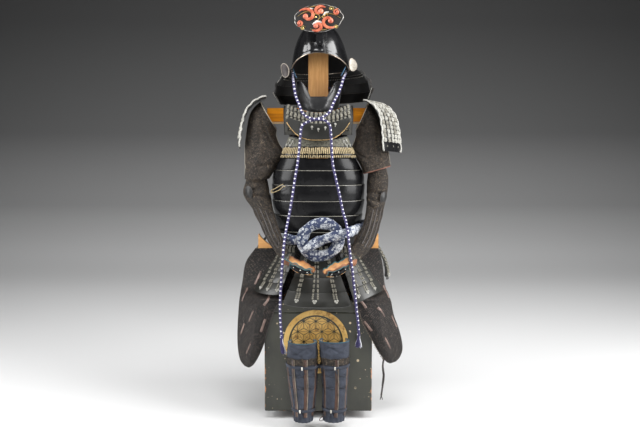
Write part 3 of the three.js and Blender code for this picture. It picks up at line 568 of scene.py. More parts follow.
def metal(name, base, rough, dark=None):
    look = Look(name, base, rough, 1.0)
    tarnish = look.grain(70, detail=5)
    dark = dark or tuple(c * 0.4 for c in base)
    look.colour(look.blend(look.ramp(tarnish, (0.42, 0.0), (0.68, 0.9)), base, dark))
    look.roughness(look.ramp(tarnish, (0.35, rough * 0.7), (0.75, min(1, rough * 2))))
    look.bump(tarnish, 0.0003, 0.4)
    return look.material


BLACK = lacquer("black_lacquer", (0.0035, 0.0035, 0.004), 0.20, coat=0.04, gleam=0.16)
HELMET_BLACK = lacquer("helmet_lacquer", (0.0035, 0.0035, 0.004), 0.15, coat=0.4)
SATIN = lacquer("satin_lacquer", (0.0085, 0.0085, 0.0068), 0.40, coat=0.12)
DULL = lacquer("dull_lacquer", (0.005, 0.0048, 0.0045), 0.5, coat=0.05)
CREAM_LACE = braid("cream_lace", (0.60, 0.49, 0.29), (0.20, 0.14, 0.07))
GREY_LACE = braid("grey_lace", (0.30, 0.285, 0.235), (0.07, 0.064, 0.05))
PALE_LACE = braid("pale_lace", (0.50, 0.49, 0.44), (0.17, 0.165, 0.15))
DARK_LACE = braid("dark_lace", (0.05, 0.045, 0.042), (0.012, 0.011, 0.010))
# the mail's third colour is the painted highlight on its raised rings
MAIL = mail_cloth("mail", (0.0050, 0.0036, 0.0028), (0.030, 0.020, 0.0125), (0.150, 0.112, 0.076))
PIPING = leather("pale_piping", (0.50, 0.46, 0.38), (0.26, 0.22, 0.17), 0.6)
HEM = leather("brown_hem", (0.20, 0.075, 0.045), (0.09, 0.035, 0.022), 0.6)
SILVER = metal("old_silver", (0.62, 0.60, 0.55), 0.3)


# ---------------------------------------------------------------- helmet cords
def cord_silk():
    """Navy braid with white flecks; texture places are the share round and millimetres along."""
    look = Look("cord_silk", (0.03, 0.022, 0.09), 0.62, Sheen_Weight=0.06, Sheen_Roughness=0.4)
    where = look.spot(uv=True)
    round_, along = look.part(where, "X"), look.part(where, "Y")
    run = look.math("DIVIDE", along, FLECK)
    turns = look.times(round_, 1.0)
    strands = (look.math("FRACT", look.math(way, run, turns)) for way in ("ADD", "SUBTRACT"))
    white = look.times(*(look.ramp(strand, (0.59, 0.0), (0.63, 1.0)) for strand in strands))
    soiled = look.blend(look.grain(300, detail=3), (0.86, 0.86, 0.90), (0.52, 0.51, 0.60))
    navy = look.blend(look.grain(200, detail=3), (0.010, 0.007, 0.045), (0.030, 0.022, 0.115))
    threads = look.bands(1.0, look.spot((2.0, 0.9, 1), uv=True, turn=0.6), "X", 0.5)
    look.colour(look.blend(white, navy, soiled))
    look.bump(look.plus(threads, look.grain(900, detail=2)), 0.0004, 0.6)
    return look.material


CORD_THICK = 10.0
FLECK = 17.0  # from one white fleck to the next along the cord
CORDS = {
    "right": [
        (-99, 0, 1300), (-99, -20, 1283), (-97, -50, 1268), (-95, -78, 1256), (-92, -95, 1234),
        (-86, -103, 1203), (-72, -126, 1168), (-58, -152, 1135),
        (-32, -169, 1117), (-6, -171, 1113), (22, -167, 1110), (42, -161, 1092), (47, -158, 1060),
        (50, -153, 1010), (54, -152, 950), (66, -158, 890), (80, -159, 830), (92, -160, 770),
        (104, -194, 728), (110, -230, 690), (114, -246, 650), (119, -253, 605), (126, -256, 555),
        (132, -252, 500), (138, -248, 450), (143, -246, 400), (148, -244, 360), (151, -243, 318),
    ],
    "left": [
        (109, 0, 1305), (107, -20, 1293), (102, -50, 1284), (96, -78, 1271), (89, -96, 1246),
        (78, -110, 1216), (58, -134, 1176), (40, -152, 1138),
        (16, -157, 1121), (-8, -158, 1113), (-36, -159, 1105), (-60, -160, 1090), (-66, -158, 1060),
        (-71, -153, 1010), (-78, -152, 950), (-88, -157, 890), (-97, -158, 830), (-107, -160, 770),
        (-116, -172, 724), (-122, -200, 690), (-127, -228, 650), (-131, -249, 600), (-135, -250, 550),
        (-138, -246, 500), (-141, -246, 450), (-142, -246, 400), (-140, -244, 350), (-137, -243, 308),
    ],
}
# How each tassel leans and how wide it spreads at its foot.
TASSELS = {"right": dict(lean=(0, 0), spread=12.5, long=56), "left": dict(lean=(9, -2), spread=10, long=70)}


def cord_surface(shape, spline):
    """A round eight-strand braid: each strand stands up a little where it lies on top."""
    sides, pitch = 12, 2.6
    rings = round(spline.length / pitch)
    side = Vector((0, 1, 0))
    points, places = [], []
    for i in range(rings + 1):
        share = i / rings
        run = share * spline.length
        middle, along = spline.at(share), spline.along(share)
        side = (side - along * side.dot(along)).normalized()
        out = side.cross(along)
        for k in range(sides):
            turn = k / sides
            lift = max(abs(math.sin(math.pi * (run / FLECK + way * turn))) for way in (1, -1))
            wide = CORD_THICK * (0.90 + 0.13 * lift**2)
            points.append(oval(middle, side, out, 2 * math.pi * turn, wide, wide))
            places.append((turn, run))
    shape.put(points, places, loft(rings + 1, sides), 0, seam=1)


def tassel(side, top, skins):
    """A whipped end and its loose threads, some navy and some white."""
    lean, spread, long = (TASSELS[side][key] for key in ("lean", "spread", "long"))
    shape = Shape()
    x, y, z = top
    shape.tube([(x, y, z - down) for down in (0.5, 4, 13, 17)], 11.5, sides=14,
               taper=lambda share: (0.75, 1.06, 1.06, 0.8)[round(share * 3)])
    random.seed(31)
    count, golden_angle = 120, 2.399963
    for i in range(count):
        share = (i + 0.5) / count
        turn = i * golden_angle
        ring_at = math.sqrt(share)
        spill = 1 + random.uniform(-0.25, 0.2)
        tall = long * random.uniform(0.88, 1.0)
        path = []
        for t in (0, 0.2, 0.45, 0.72, 1.0):
            radius = ring_at * mix(3.6, spread * spill, smooth(t) ** 0.8)
            curl = turn + 0.5 * t * random.uniform(-1, 1)
            path.append((
                x + radius * math.cos(curl) + lean[0] * t * t,
                y + 0.8 * radius * math.sin(curl) + lean[1] * t * t,
                z - 12 - (tall - 12) * t,
            ))
        white = math.sin(turn + 0.8) + random.uniform(-0.9, 0.9) > 0.1
        shape.tube(Spline(path, fine=3).line[::2] + [Vector(path[-1])], 1.5, sides=4, skin=2 if white else 1)
    return shape.build(f"tassel_{side}_threads", skins, "tassel_silk", [f"tassel_{side}"])


def cords():
    silk = cord_silk()
    navy = plain_cloth("tassel_navy", (0.025, 0.02, 0.08), (0.06, 0.05, 0.17), 1.0, 0.7)
    white = plain_cloth("tassel_white", (0.62, 0.62, 0.68), (0.80, 0.80, 0.84), 1.0, 0.7)
    for side, points in CORDS.items():
        spline = Spline(points)
        shape = Shape()
        cord_surface(shape, spline)
        cord = shape.build(f"cord_{side}_braid", [silk], "cord_silk", [f"cord_{side}"], smooth_angle=80)
        end = tassel(side, points[-1], [silk, navy, white])
        path = [tuple(c * MM for c in spline.at(share)) for share in steps(120)]
        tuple(path[0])


cords()


# ---------------------------------------------------------------- lacing and lames
def frame_at(place, u, v):
    """The point, the way down and the way out of a surface there."""
    here = Vector(place(u, v, 0))
    out = Vector(place(u, v, 3)) - here
    down = Vector(place(u, v + 0.01, 0)) - here
    out.normalize()
    down = (down - out * down.dot(out)).normalized()
    return here, down, out


def between(start, end, share):
    return tuple(mix(a, b, share) for a, b in zip(start, end))


def lace(shape, place, start, end, wide, thick, skin, lift=1.2, bulge=1.6):
    """One lace lying on a surface from start to end, both (u, v), tucked in at each end."""
    path, outs = [], []
    for share in (0, 0.12, 0.5, 0.88, 1):
        u, v = between(start, end, share)
        here, _, out = frame_at(place, u, v)
        path.append(here + out * (lift * (0.1 if share in (0, 1) else 1) + bulge * math.sin(math.pi * share) ** 0.5))
        outs.append(out)
    shape.tube(path, wide, thick, 6, skin, face=lambda _, share: outs[round(share * 4)])


def lame(shape, place, us, skins=(0, 0, 0), stand=0.0, lap=0.0, crown=0.8, span=100.0):
    """A plate with rounded edges over v from 0 to 1, span mm tall; skins are (face, top edge, back).

    stand lifts its top edge off the surface, and lap carries that edge on under the plate above.
    """
    high, low = 0 - lap, 1
    edge = 1.0 / span
    face, rim, back = skins
    section = [
        (high + edge * 0.9, stand), (high + edge * 3, stand + 0.2),
        (mix(high, low, 0.5), mix(stand, 0, 0.5) + crown), (low - edge * 1.4, 0.15),
        (low - edge * 0.3, -0.5), (low, -PLATE * 0.6), (low - edge * 0.6, -PLATE),
        (mix(high, low, 0.5), mix(stand, 0, 0.5) + crown - PLATE),
        (high + edge * 0.6, stand - PLATE), (high, stand - PLATE * 0.5), (high + edge * 0.25, stand - 0.35),
    ]
    shape.sweep(place, us, section, [face] * 4 + [back] * 5 + [rim] * 2, (100, span))


# ---------------------------------------------------------------- cuirass
TORSO = table("z wide deep",
    (1090, 132, 104), (1045, 146, 120), (966, 164, 133), (900, 184, 139), (800, 185, 140), (700, 170, 133),
    (612, 154, 125),
)
SQUARE = 0.86  # how boxy the section is: 1 is an oval, less is squarer
ARMHOLE = table("z front back",
    (1090, 38, 44), (1045, 50, 54), (1003, 56, 58), (966, 61, 62), (918, 76, 78), (880, 88.8, 88.8),
)
PLATE = 2.2  # thickness of a lame
STAND = 2.6  # how far a lame's top edge stands off, under the one above it


def ring(angle, wide, deep, z, square=SQUARE):
    s, c = math.sin(math.radians(angle)), math.cos(math.radians(angle))
    return wide * math.copysign(abs(s) ** square, s), -deep * math.copysign(abs(c) ** square, c), z


def torso(angle, z, out):
    """The cuirass section, with its tables smoothed a little between their rows."""
    wide, deep = (read_soft(TORSO, column, z, 22) + out for column in ("wide", "deep"))
    return ring(angle, wide, deep, z)


def painted_edge_highlight():
    """A painted highlight along the top edge of a cuirass bar: a pale line standing in for the edge catching the
    light; it fades out towards the sides.
    """
    look = Look("bar_edge_highlight", (0.30, 0.28, 0.24), 0.35, Coat_Weight=0.3)
    sideways = look.part(look.spot(uv=True), "X")
    near = look.math("ABSOLUTE", sideways)
    shown = look.ramp(look.math("DIVIDE", near, 100.0), (0.45, 1.0), (0.86, 0.12))
    # noise breaks up the painted highlight line so it shows unevenly
    wear_and_highlight = look.ramp(look.grain(40, detail=4), (0.3, 0.55), (0.55, 1.0))
    look.colour(look.blend(look.times(shown, wear_and_highlight), (0.012, 0.012, 0.012), (0.42, 0.40, 0.34)))
    return look.material


def cuirass():
    # the bars' top edges carry a painted highlight line
    skins = [BLACK, painted_edge_highlight(), DULL]
    rows = [966, 918, 861, 800, 743, 680, 612]
    us = [2 * u - 1 for u in steps(56)]
    for side, middle in (("front", 0), ("back", 180)):
        shape = Shape()
        for top, low in zip(rows, rows[1:]):

            def place(u, v, out, top=top, low=low):
                z = mix(top, low, v)
                return torso(middle + u * read(ARMHOLE, side, z), z, out - 3)

            tucked = {} if top == rows[0] else dict(stand=STAND, lap=0.03)
            lame(shape, place, us, (0, 1 if tucked else 0, 2), crown=0.15, span=top - low, **tucked)
        shape.build(f"cuirass_{side}_plates", skins, "black_lacquer", [f"cuirass_{side}_shell"])
        laced_rows(side, middle)
        top_plate(side, middle)


def evenly(place, count, v, low, high):
    """Places u that lie equally far apart along a surface at the height v."""
    marks = steps(240, low, high)
    run = [0.0]
    for a, b in zip(marks, marks[1:]):
        run.append(run[-1] + (Vector(place(b, v, 0)) - Vector(place(a, v, 0))).length)
    found = []
    for i in range(count):
        want = run[-1] * (i + 0.5) / count
        k = next(k for k in range(1, len(run)) if run[k] >= want)
        found.append(mix(marks[k - 1], marks[k], (want - run[k - 1]) / (run[k] - run[k - 1])))
    return found


def laced_rows(side, middle):
    """Two close rows of cream lacing over black lames."""
    shape = Shape()

    def place(u, v, out):
        z = mix(1011, 969, v)
        return torso(middle + u * read(ARMHOLE, side, z), z, PLATE + 1 + out)

    us = [2 * u - 1 for u in steps(40)]
    lame(shape, place, us, crown=0.3, span=42)
    random.seed(11)
    for u in evenly(place, 40, 0.5, -0.975, 0.975):
        lean = random.uniform(-0.006, 0.006)
        high = random.uniform(-0.04, 0.04)
        wide = random.uniform(4.6, 5.8)
        lace(shape, place, (u + lean, 0.10 + high), (u - lean, 0.66 + high), wide, 3.0, 1, bulge=1.6)
        lace(shape, place, (u - lean, 0.80), (u + lean, 1.0 + high / 2), wide - 1, 2.8, 1, lift=0.8, bulge=1.2)
    shape.build(f"cuirass_{side}_lacing", [BLACK, CREAM_LACE], "laced_row", [f"cuirass_{side}_laced_row"])


def top_plate(side, middle):
    shape = Shape()
    top = {"front": 1052, "back": 1082}[side]

    def place(u, v, out):
        z = mix(top, 1003, v) - 14 * (1 - u * u) * (1 - v)
        return torso(middle + u * read(ARMHOLE, side, z), z, out - 1)

    us = [2 * u - 1 for u in steps(40)]
    lame(shape, place, us, (1, 0, 0), crown=0.5, span=top - 1003)
    shape.tube([place(u, 0.0, 0.6) for u in us], 5.0)
    for hand in (-1, 1):
        for u, v, tail in ((0.70, 0.30, 0.34), (0.82, 0.26, 0.30), (0.76, 0.72, 0.16), (0.90, 0.70, 0.2)):
            here, down, out = frame_at(place, hand * u, v)
            shape.blob(here + out * 3.8, (5.0, 3.0, 4.6), 2)
            for k in (-1, 1):
                swing = (Vector((k * 0.35, 0, 0)) + down) * 60 * tail
                end = [here + out * 3.4, here + out * 4.6 + swing * 0.5, here + out * 3.4 + swing]
                shape.tube(end, 3.2, 2.6, 6, 2)
    skins = [BLACK, stencilled_leather(), PALE_LACE]
    shape.build(f"cuirass_{side}_top", skins, "black_lacquer", [f"cuirass_{side}_top_plate"])


def stencilled_leather():
    """Grey-green leather with a small scattered leaf pattern."""
    look = Look("stencilled_leather", (0.08, 0.078, 0.06), 0.6, Specular_IOR_Level=0.3)
    leaves = look.cells(120)
    small = look.cells(330)
    shown = look.ramp(look.times(leaves, small), (0.16, 0.0), (0.22, 1.0))
    ground = look.blend(look.grain(40, detail=4), (0.026, 0.027, 0.021), (0.070, 0.068, 0.052))
    look.colour(look.blend(shown, ground, (0.115, 0.11, 0.085)))
    look.bump(small, 0.0005, 0.6)
    return look.material


def side_ties():
    """Two ends of straw-coloured cord that close the cuirass on its right side."""
    shape = Shape()
    ends = [
        [(-184, -58, 836), (-182, -84, 842), (-166, -108, 850), (-146, -124, 862), (-134, -132, 868)],
        [(-184, -56, 832), (-180, -86, 832), (-164, -110, 838), (-148, -124, 846), (-132, -134, 860),
         (-126, -138, 858)],
    ]
    for path in ends:
        shape.tube(Spline(path, fine=8).line, 3.0)
    for k in (-1, 1):
        shape.blob((-182, -70 + 4 * k, 836 + 2 * k), (4.2, 4.2, 3.6), 0, rings=7, sides=12)
    shape.build("cuirass_side_ties", [CREAM_LACE], "laced_row")


cuirass()
side_ties()


# ---------------------------------------------------------------- helmet
HEAD = dict(x=6, z=1370, tilt=-2.2, turn=-6.5)
HEAD_TURN = Matrix.Rotation(math.radians(HEAD["tilt"]), 3, "Y") @ Matrix.Rotation(math.radians(HEAD["turn"]), 3, "Z")
BOWL_TOP = 1489
BOWL = [
    (0, BOWL_TOP), (34, 1482), (55, 1470), (71, 1453), (84, 1430), (96, 1400), (104, 1370), (110, 1340), (114, 1300),
]
BOWL_ROWS = [dict(z=p.z, wide=p.x) for p in Spline([(x, 0, z) for x, z in BOWL]).line]
BOWL_LONG = 1.12  # how much longer than wide it is
BROW = dict(low=1304, rise=62, half=92)


def on_head(x, y, z):
    """From the helmet's own upright frame to the row frame."""
    return HEAD_TURN @ Vector((x, y, z - HEAD["z"])) + Vector((HEAD["x"], 0, HEAD["z"]))


def ring_round(angle, wide, deep, z, middle_y=0.0):
    return (wide * math.sin(math.radians(angle)), middle_y - deep * math.cos(math.radians(angle)), z)


def rim_height(angle):
    turn = (angle + 540) % 360 - 180
    if abs(turn) >= BROW["half"]:
        return BROW["low"]
    return BROW["low"] + BROW["rise"] * math.cos(math.pi / 2 * turn / BROW["half"]) ** 1.2


def bowl_point(angle, v, out):
    z = mix(BOWL_TOP, rim_height(angle), v)
    wide = read(BOWL_ROWS, "wide", z) + out
    return ring_round(angle, wide, wide * BOWL_LONG, z + out * (1 - v) * 0.9)


def helmet_bowl():
    """A smooth iron bowl of three plates, with a riveted seam each side of the middle one."""
    shape = Shape()
    around = [360 * u for u in steps(120)][:-1]
    downs = [0.0006, 0.003, 0.008] + [0.018 + 0.982 * t for t in steps(44)]

    def place(u, v, out):
        """u is an angle in degrees here."""
        turn = (u + 540) % 360 - 180
        if out == 0:
            x = abs(bowl_point(u, v, 0)[0])
            middle_plate = 1.3 * smooth((31 - x) / 2.4) * smooth((v - 0.03) * 12)
            brow_plate = 0.9 * smooth((v - 0.90) / 0.03) * smooth((88 - abs(turn)) / 6)
            out = out + middle_plate + brow_plate
        return on_head(*bowl_point(u, v, out))

    shape.sheet(place, around, downs, 2.6, 0, inner=1, edge=1, closed=True)
    shape.tube([on_head(*bowl_point(u, 1, -0.4)) for u in around], 4.6, 4.4, 8, 2, closed=True)
    for hand in (-1, 1):
        for t in steps(9, 0.16, 0.86):
            angle = math.degrees(math.asin(min(1, 35 / read(BOWL_ROWS, "wide", mix(BOWL_TOP, 1366, t))))) * hand
            here = Vector(place(angle, t, 0))
            out = (here - Vector(place(angle, t, -4))).normalized()
            side = out.orthogonal()
            shape.blob(here + out * 0.2, (1.9, 1.9, 1.2), axes=(side, out.cross(side), out))
    top = on_head(0, 0, BOWL_TOP + 0.5)
    shape.tube([top + Vector((0, 0, up)) for up in (-2, -0.5, 0.4)], 22, sides=24, skin=2,
               taper=lambda share: (1.1, 0.9, 0.4)[round(share * 2)])
    rim_metal = metal("helmet_rim", (0.46, 0.40, 0.33), 0.34, (0.16, 0.10, 0.075))
    lining = plain_cloth("helmet_lining", (0.010, 0.010, 0.012), (0.02, 0.018, 0.018), 2)
    shape.build("helmet_bowl_iron", [HELMET_BLACK, lining, rim_metal], "black_lacquer", ["helmet_bowl"])


NECK_EDGES = table("z wide long start",
    (1318, 117, 131, 84), (1292, 155, 162, 76), (1258, 180, 182, 73), (1220, 186, 188, 74),
    (1180, 165, 175, 82),
)
NECK_X = 9
NECK_LAP = 7


def neck_lame(i):
    high, low = NECK_EDGES[i], NECK_EDGES[i + 1]
    lap = NECK_LAP / (high["z"] - low["z"]) if i else 0
    stand = i * (PLATE + 0.9)

    def place(u, v, out):
        share = mix(-lap, 1, v)
        start = mix(high["start"], low["start"], v)
        wide = mix(high["wide"], low["wide"], share) + stand + out
        deep = mix(high["long"], low["long"], share) + stand + out
        z = mix(high["z"], low["z"], share) + stand * 0.35 + out * 0.3
        x, y, z = ring_round(start + u * (360 - 2 * start), wide, deep, z, 2)
        return on_head(x + (NECK_X * min(1, 2 * v) if i == 0 else NECK_X), y, z)

    return place


def neck_guard():
    edge = metal("neck_edge", (0.10, 0.09, 0.08), 0.4)
    random.seed(3)
    for i in range(4):
        place = neck_lame(i)
        shape = Shape()
        us = steps(72)
        span = NECK_EDGES[i]["z"] - NECK_EDGES[i + 1]["z"] + 8
        lame(shape, place, us, (0, 2, 0), crown=0.6, span=span)
        shape.tube([place(u, 0.985, -0.6) for u in us], 3.4, 3.4, 8, 2)
        count = 78 if i else 0
        for k in range(count):
            u = mix(0.012, 0.988, (k + 0.5) / count)
            # about one lace in ten is pale, partly rubbed lacing and partly a painted highlight on the lacing
            skin = 3 if random.random() < 0.10 else 1
            lace(shape, place, (u, 0.03), (u, 0.46), 4.4, 2.4, skin, bulge=1.0)
            lace(shape, place, (u, 0.56), (u, 0.90), 4.2, 2.0, skin, lift=0.8, bulge=0.8)
        if i == 1:
            for k in range(64):
                u = mix(0.08, 0.92, (k + 0.5) / 64)
                here, down, out = frame_at(place, u, 0.18)
                for row in (0, 11):
                    shape.blob(here - out * 4.2 + down * row, (1.9, 1.9, 2.6), 3, rings=4, sides=6)
        if i == 3:
            for end in (0, 1):
                shape.tube([place(abs(end - 0.004), v, -0.9) for v in steps(8, 0.02, 0.99)], 3.2, 3.2, 8, 3)
        skins = [DULL, DARK_LACE, edge, PALE_LACE]
        shape.build(f"neck_guard_{i + 1}_laced", skins, "black_lacquer", [f"neck_guard_lame_{i + 1}"])


def turnbacks():
    """A small ear at each end of the neck guard, covered in leather and edged."""
    ears = {
        "right": dict(hand=-1, slot="ear_brown", x=-132, y=-50, z=1310, wide=23, tall=27, lean=14),
        "left": dict(hand=1, slot="ear_white", x=129, y=-36, z=1320, wide=20, tall=24, lean=8),
    }
    covers = {
        "right": leather("ear_brown", (0.045, 0.032, 0.030), (0.012, 0.009, 0.009), 0.6),
        "left": leather("ear_white", (0.52, 0.49, 0.43), (0.22, 0.19, 0.15), 0.55),
    }
    rim = leather("ear_rim", (0.50, 0.45, 0.38), (0.26, 0.22, 0.18), 0.45)
    count = 48
    for name, ear in ears.items():
        turn = Matrix.Rotation(ear["hand"] * math.radians(30), 3, "Z")

        def place(x, y, h):
            bend = 0.011 * x * x + 0.002 * y * y
            spot = turn @ Vector((x, -h - bend + 2.4, y))
            return on_head(ear["x"] + spot.x, ear["y"] + spot.y, ear["z"] + spot.z)

        outline = []
        for u in steps(count)[:-1]:
            angle = 2 * math.pi * u
            size = 1 - 0.14 * math.exp(-((u - 0.5) * 9) ** 2) + 0.05 * math.cos(3 * angle + 1)
            x, y = 0.84 * ear["wide"] * size * math.cos(angle), ear["tall"] * size * math.sin(angle)
            lean = math.radians(ear["lean"])
            outline.append((x * math.cos(lean) - y * math.sin(lean), x * math.sin(lean) + y * math.cos(lean)))
        shape = Shape()
        sizes = (1.0, 0.86, 0.6, 0.3)
        inmost, middle = (len(sizes) - 1) * count, len(sizes) * count
        faces = loft(len(sizes), count, ends=False)
        faces += [[inmost + k, inmost + (k + 1) % count, middle] for k in range(count)]
        for side, height in ((0, 3.2), (1, 0.0)):
            points = [place(x * size, y * size, height) for size in sizes for x, y in outline] + [place(0, 0, height)]
            shape.put(points, [(0, 0)] * len(points), [face[::-1] for face in faces] if side else faces, side)
        shape.tube([place(x, y, 1.6) for x, y in outline], 2.4, 4.6, 8, 2, closed=True,
                   face=lambda p, share: turn @ Vector((0, -1, 0)))
        shape.build(f"turnback_{name}_ear", [covers[name], BLACK, rim], ear["slot"], [f"turnback_{name}"])


CREST = dict(wide=188, tall=103, thick=7, lobes=9, y=-134, middle=1489, x=16)


def crest():
    """A generic carved roundel: swirls, tendrils and clouds in colour on black, with a dull metal rim."""
    c = CREST

    def place(x, y, h):
        return on_head(c["x"] + x, c["y"] - h, c["middle"] + y)

    outline = []
    for u in steps(180)[:-1]:
        turn = 2 * math.pi * u
        lobe = 1 - 0.045 * (1 - abs(math.cos(c["lobes"] * turn / 2)))
        outline.append((c["wide"] / 2 * math.cos(turn) * lobe * 0.985, c["tall"] / 2 * math.sin(turn) * lobe * 0.985))

    shape = Shape()
    shape.slab(outline, -0.5, c["thick"] - 2.2, place, 0, round_by=1.2)
    looking = HEAD_TURN @ Vector((0, -1, 0))
    face = lambda p, share: looking
    shape.tube([place(x, y, 3.4) for x, y in outline], 2.8, 5.0, 8, 1, closed=True, face=face)

    def scroll(cx, cy, size, turns, start, wide, skin, hand):
        """A tendril that winds in to a knob, flatter than wide."""
        path = []
        for t in steps(26):
            radius = size * (1 - 0.86 * t)
            angle = start + hand * turns * 2 * math.pi * t
            path.append(place(cx + 1.25 * radius * math.cos(angle), cy + radius * math.sin(angle), 5.6 + 1.2 * t))
        swell = lambda s: mix(0.25, 1, math.sin(math.pi * min(1, s * 1.1)) ** 0.6)
        shape.tube(path, wide, wide * 0.8, 8, skin, face=face, taper=swell)
        shape.blob(path[-1], (wide * 0.8, wide * 0.5, wide * 0.8), skin)

    def cloud(cx, cy, size, angle, skin):
        """Five puffs, smaller towards its ends, in low relief."""
        puffs = ((0, 0, 1.0), (-0.95, -0.28, 0.72), (0.95, -0.22, 0.78), (1.8, -0.5, 0.46), (-1.7, -0.5, 0.42))
        for dx, dy, r in puffs:
            x = cx + size * (dx * math.cos(angle) - dy * math.sin(angle))
            y = cy + size * (dx * math.sin(angle) + dy * math.cos(angle))
            shape.blob(place(x, y, 4.6), (size * r, 2.6, size * r * 0.74), skin, rings=7, sides=12)

    # four broad vermilion swirls and two small ones, gold tendrils between them, a few pale clouds
    swirls = ((-44, 10, 30, 2.4, -1), (40, -12, 28, 5.4, -1), (6, 26, 20, 0.6, 1), (-8, -28, 20, 3.9, 1))
    small = ((70, 18, 12, 1.2, 1), (-74, -14, 12, 4.2, 1))
    gold = ((-12, 6, 15, 5.0, 1), (22, 6, 13, 2.0, -1), (-60, -34, 9, 0.4, 1), (64, -36, 8, 3.0, -1),
            (48, 32, 9, 5.2, 1))
    for spots, turns, wide, skin in ((swirls, 0.85, 13.0, 3), (small, 0.9, 8.0, 3), (gold, 1.1, 4.0, 2)):
        for x, y, size, start, hand in spots:
            scroll(x, y, size, turns, start, wide, skin, hand)
    for y, x0, x1, rise in ((12, -80, -4, 16), (-2, -2, 82, 18), (-38, -34, 46, -7), (40, -40, 30, 6)):
        path = [place(mix(x0, x1, t), y + rise * math.sin(math.pi * t) - 0.1 * rise, 5.8) for t in steps(14)]
        shape.tube(path, 3.4, 2.8, 6, 2, face=face, taper=lambda s: 0.35 + 0.65 * math.sin(math.pi * s))
    for x, y, size, angle in ((-6, -14, 9.5, 0.12), (26, 18, 6, 0.5), (-30, 36, 5, 0.2)):
        cloud(x, y, size, angle, 4)
    look = Look("crest_vermilion", (0.50, 0.10, 0.04), 0.4, Coat_Weight=0.2)
    tone = look.grain(60, detail=5)
    look.colour(look.fade(tone, 0.35, 0.65, (0.34, 0.055, 0.028), (0.62, 0.19, 0.10)))
    look.bump(look.grain(220, detail=3), 0.0004, 0.5)
    chalk = leather("crest_white", (0.74, 0.72, 0.68), (0.44, 0.42, 0.39), 0.5)
    ground = leather("crest_black", (0.004, 0.0035, 0.0035), (0.012, 0.009, 0.008), 0.75)
    gold = metal("crest_gold", (0.78, 0.60, 0.24), 0.34, (0.40, 0.24, 0.08))
    rim = metal("crest_rim", (0.34, 0.33, 0.31), 0.45, (0.08, 0.075, 0.07))
    shape.build("crest_disc", [ground, rim, gold, look.material, chalk], "crest_lacquer", ["crest_plate"])

    stay = Shape()

    def on_stay(x, y, h):
        return on_head(c["x"] + x, c["y"] + 11.6 + 11 - h, y)

    half = [(9, 1391), (13, 1399), (13, 1436), (10, 1452), (10, 1469)]
    plate = [(-9, 1391), *half, *((-x, z) for x, z in half[:0:-1])]
    stay.slab(plate, 0.5, 21.5, on_stay, 0, round_by=1.5)
    for x, z in ((0, 1402), (0, 1444)):
        stay.blob(on_stay(x, z, 21.6), (3.2, 1.4, 3.2), 1)
    stay.build("crest_socket", [HELMET_BLACK, DULL], "black_lacquer", ["crest_stay"])


def liner_cords():
    """The blue lining cord that shows at each temple inside the rim."""
    shape = Shape()
    teal = plain_cloth("liner_cord", (0.015, 0.05, 0.10), (0.03, 0.09, 0.15), 1.2)
    route = ((103, -28, 1316), (99, -44, 1306), (93, -56, 1292), (86, -62, 1279))
    for hand in (-1, 1):
        shape.tube(Spline([on_head(hand * x, y, z) for x, y, z in route], fine=6).line, 4.2)
    shape.build("helmet_lining_cords", [teal], "cord_silk")


helmet_bowl()
neck_guard()
turnbacks()
crest()
liner_cords()


# ---------------------------------------------------------------- mask and throat guard
MASK = dict(wide=88, deep=82, y=-30, x=2, low=1142, lip=1199, cheek=1260, reach=82)


def mask_point(u, v, out):
    turn = mix(-MASK["reach"], MASK["reach"], u)
    side = clamp((abs(turn) - 22) / 36)
    top = mix(MASK["lip"], MASK["cheek"], side * (2 - side))
    z = mix(top, MASK["low"] + 12 * side, v)

    def bump(at, wide):
        return math.exp(-((at / wide) ** 2))

    chin = 5.0 * bump(z - 1160, 15) * sum(bump(turn - k, 12) for k in (-13, 13))
    lip = 1.6 * bump(z - 1190, 7) * bump(turn, 24)
    jaw = 1.2 * bump(z - 1172 - 0.35 * (abs(turn) - 34), 10) * bump(abs(turn) - 42, 18)
    cheek = 4.0 * bump(z - 1222, 20) * bump(abs(turn) - 52, 20)
    tuck = 1 - 0.16 * v * v
    relief = (chin + lip - jaw + cheek) if out > -1.5 else chin
    x, y, z = ring_round(turn, MASK["wide"] * tuck + out, MASK["deep"] * tuck + out + relief, z, MASK["y"])
    return Vector((x + MASK["x"], y, z))


def mask():
    shape = Shape()
    us, vs = steps(96), steps(34)
    shape.sheet(mask_point, us, vs, PLATE, 0, inner=1, edge=0)
    shape.tube([mask_point(u, 0, -0.4) for u in us], 3.4, 3.2)
    shape.tube([mask_point(u, 1, -0.6) for u in us], 3.6, 3.4)
    for end in (0, 1):
        shape.tube([mask_point(end, v, -0.6) for v in vs], 4.0, 3.6)
    for hand in (-1, 1):
        u, v = 0.5 + hand * 0.36, 0.42
        here = mask_point(u, v, 0)
        out = (here - mask_point(u, v, -4)).normalized()
        shape.tube([here, here + out * 4, here + out * 6.5 + Vector((0, 0, 2.5))], 3.4, sides=10)
        shape.blob(here + out * 7 + Vector((0, 0, 3)), (2.6, 2.6, 2.6))
        shape.blob(mask_point(0.5 + hand * 0.03, 0.86, 0), (2.2, 3.4, 2.2))
    red = lacquer("mask_inside", (0.07, 0.012, 0.008), 0.4, coat=0.2)
    iron = lacquer("mask_lacquer", (0.0045, 0.0045, 0.005), 0.30, coat=0.12, gleam=0.45)
    shape.build("face_mask_iron", [iron, red], "black_lacquer", ["face_mask"])

    tie = Shape()
    route = [
        (-79, -42, 1226), (-66, -10, 1236), (-44, 7, 1240), (0, 10, 1241), (44, 7, 1240), (66, -10, 1236),
        (82, -42, 1226),
    ]
    path = Spline(route, fine=10).line
    tie.tube(path, 7.6, 3.0, 10, 0, face=lambda p, s: Vector((p.x, p.y, 0)))
    silk = plain_cloth("mask_tie_silk", (0.02, 0.018, 0.06), (0.05, 0.045, 0.12), 1.0)
    tie.build("mask_tie_band", [silk], "cord_silk", ["mask_tie"])


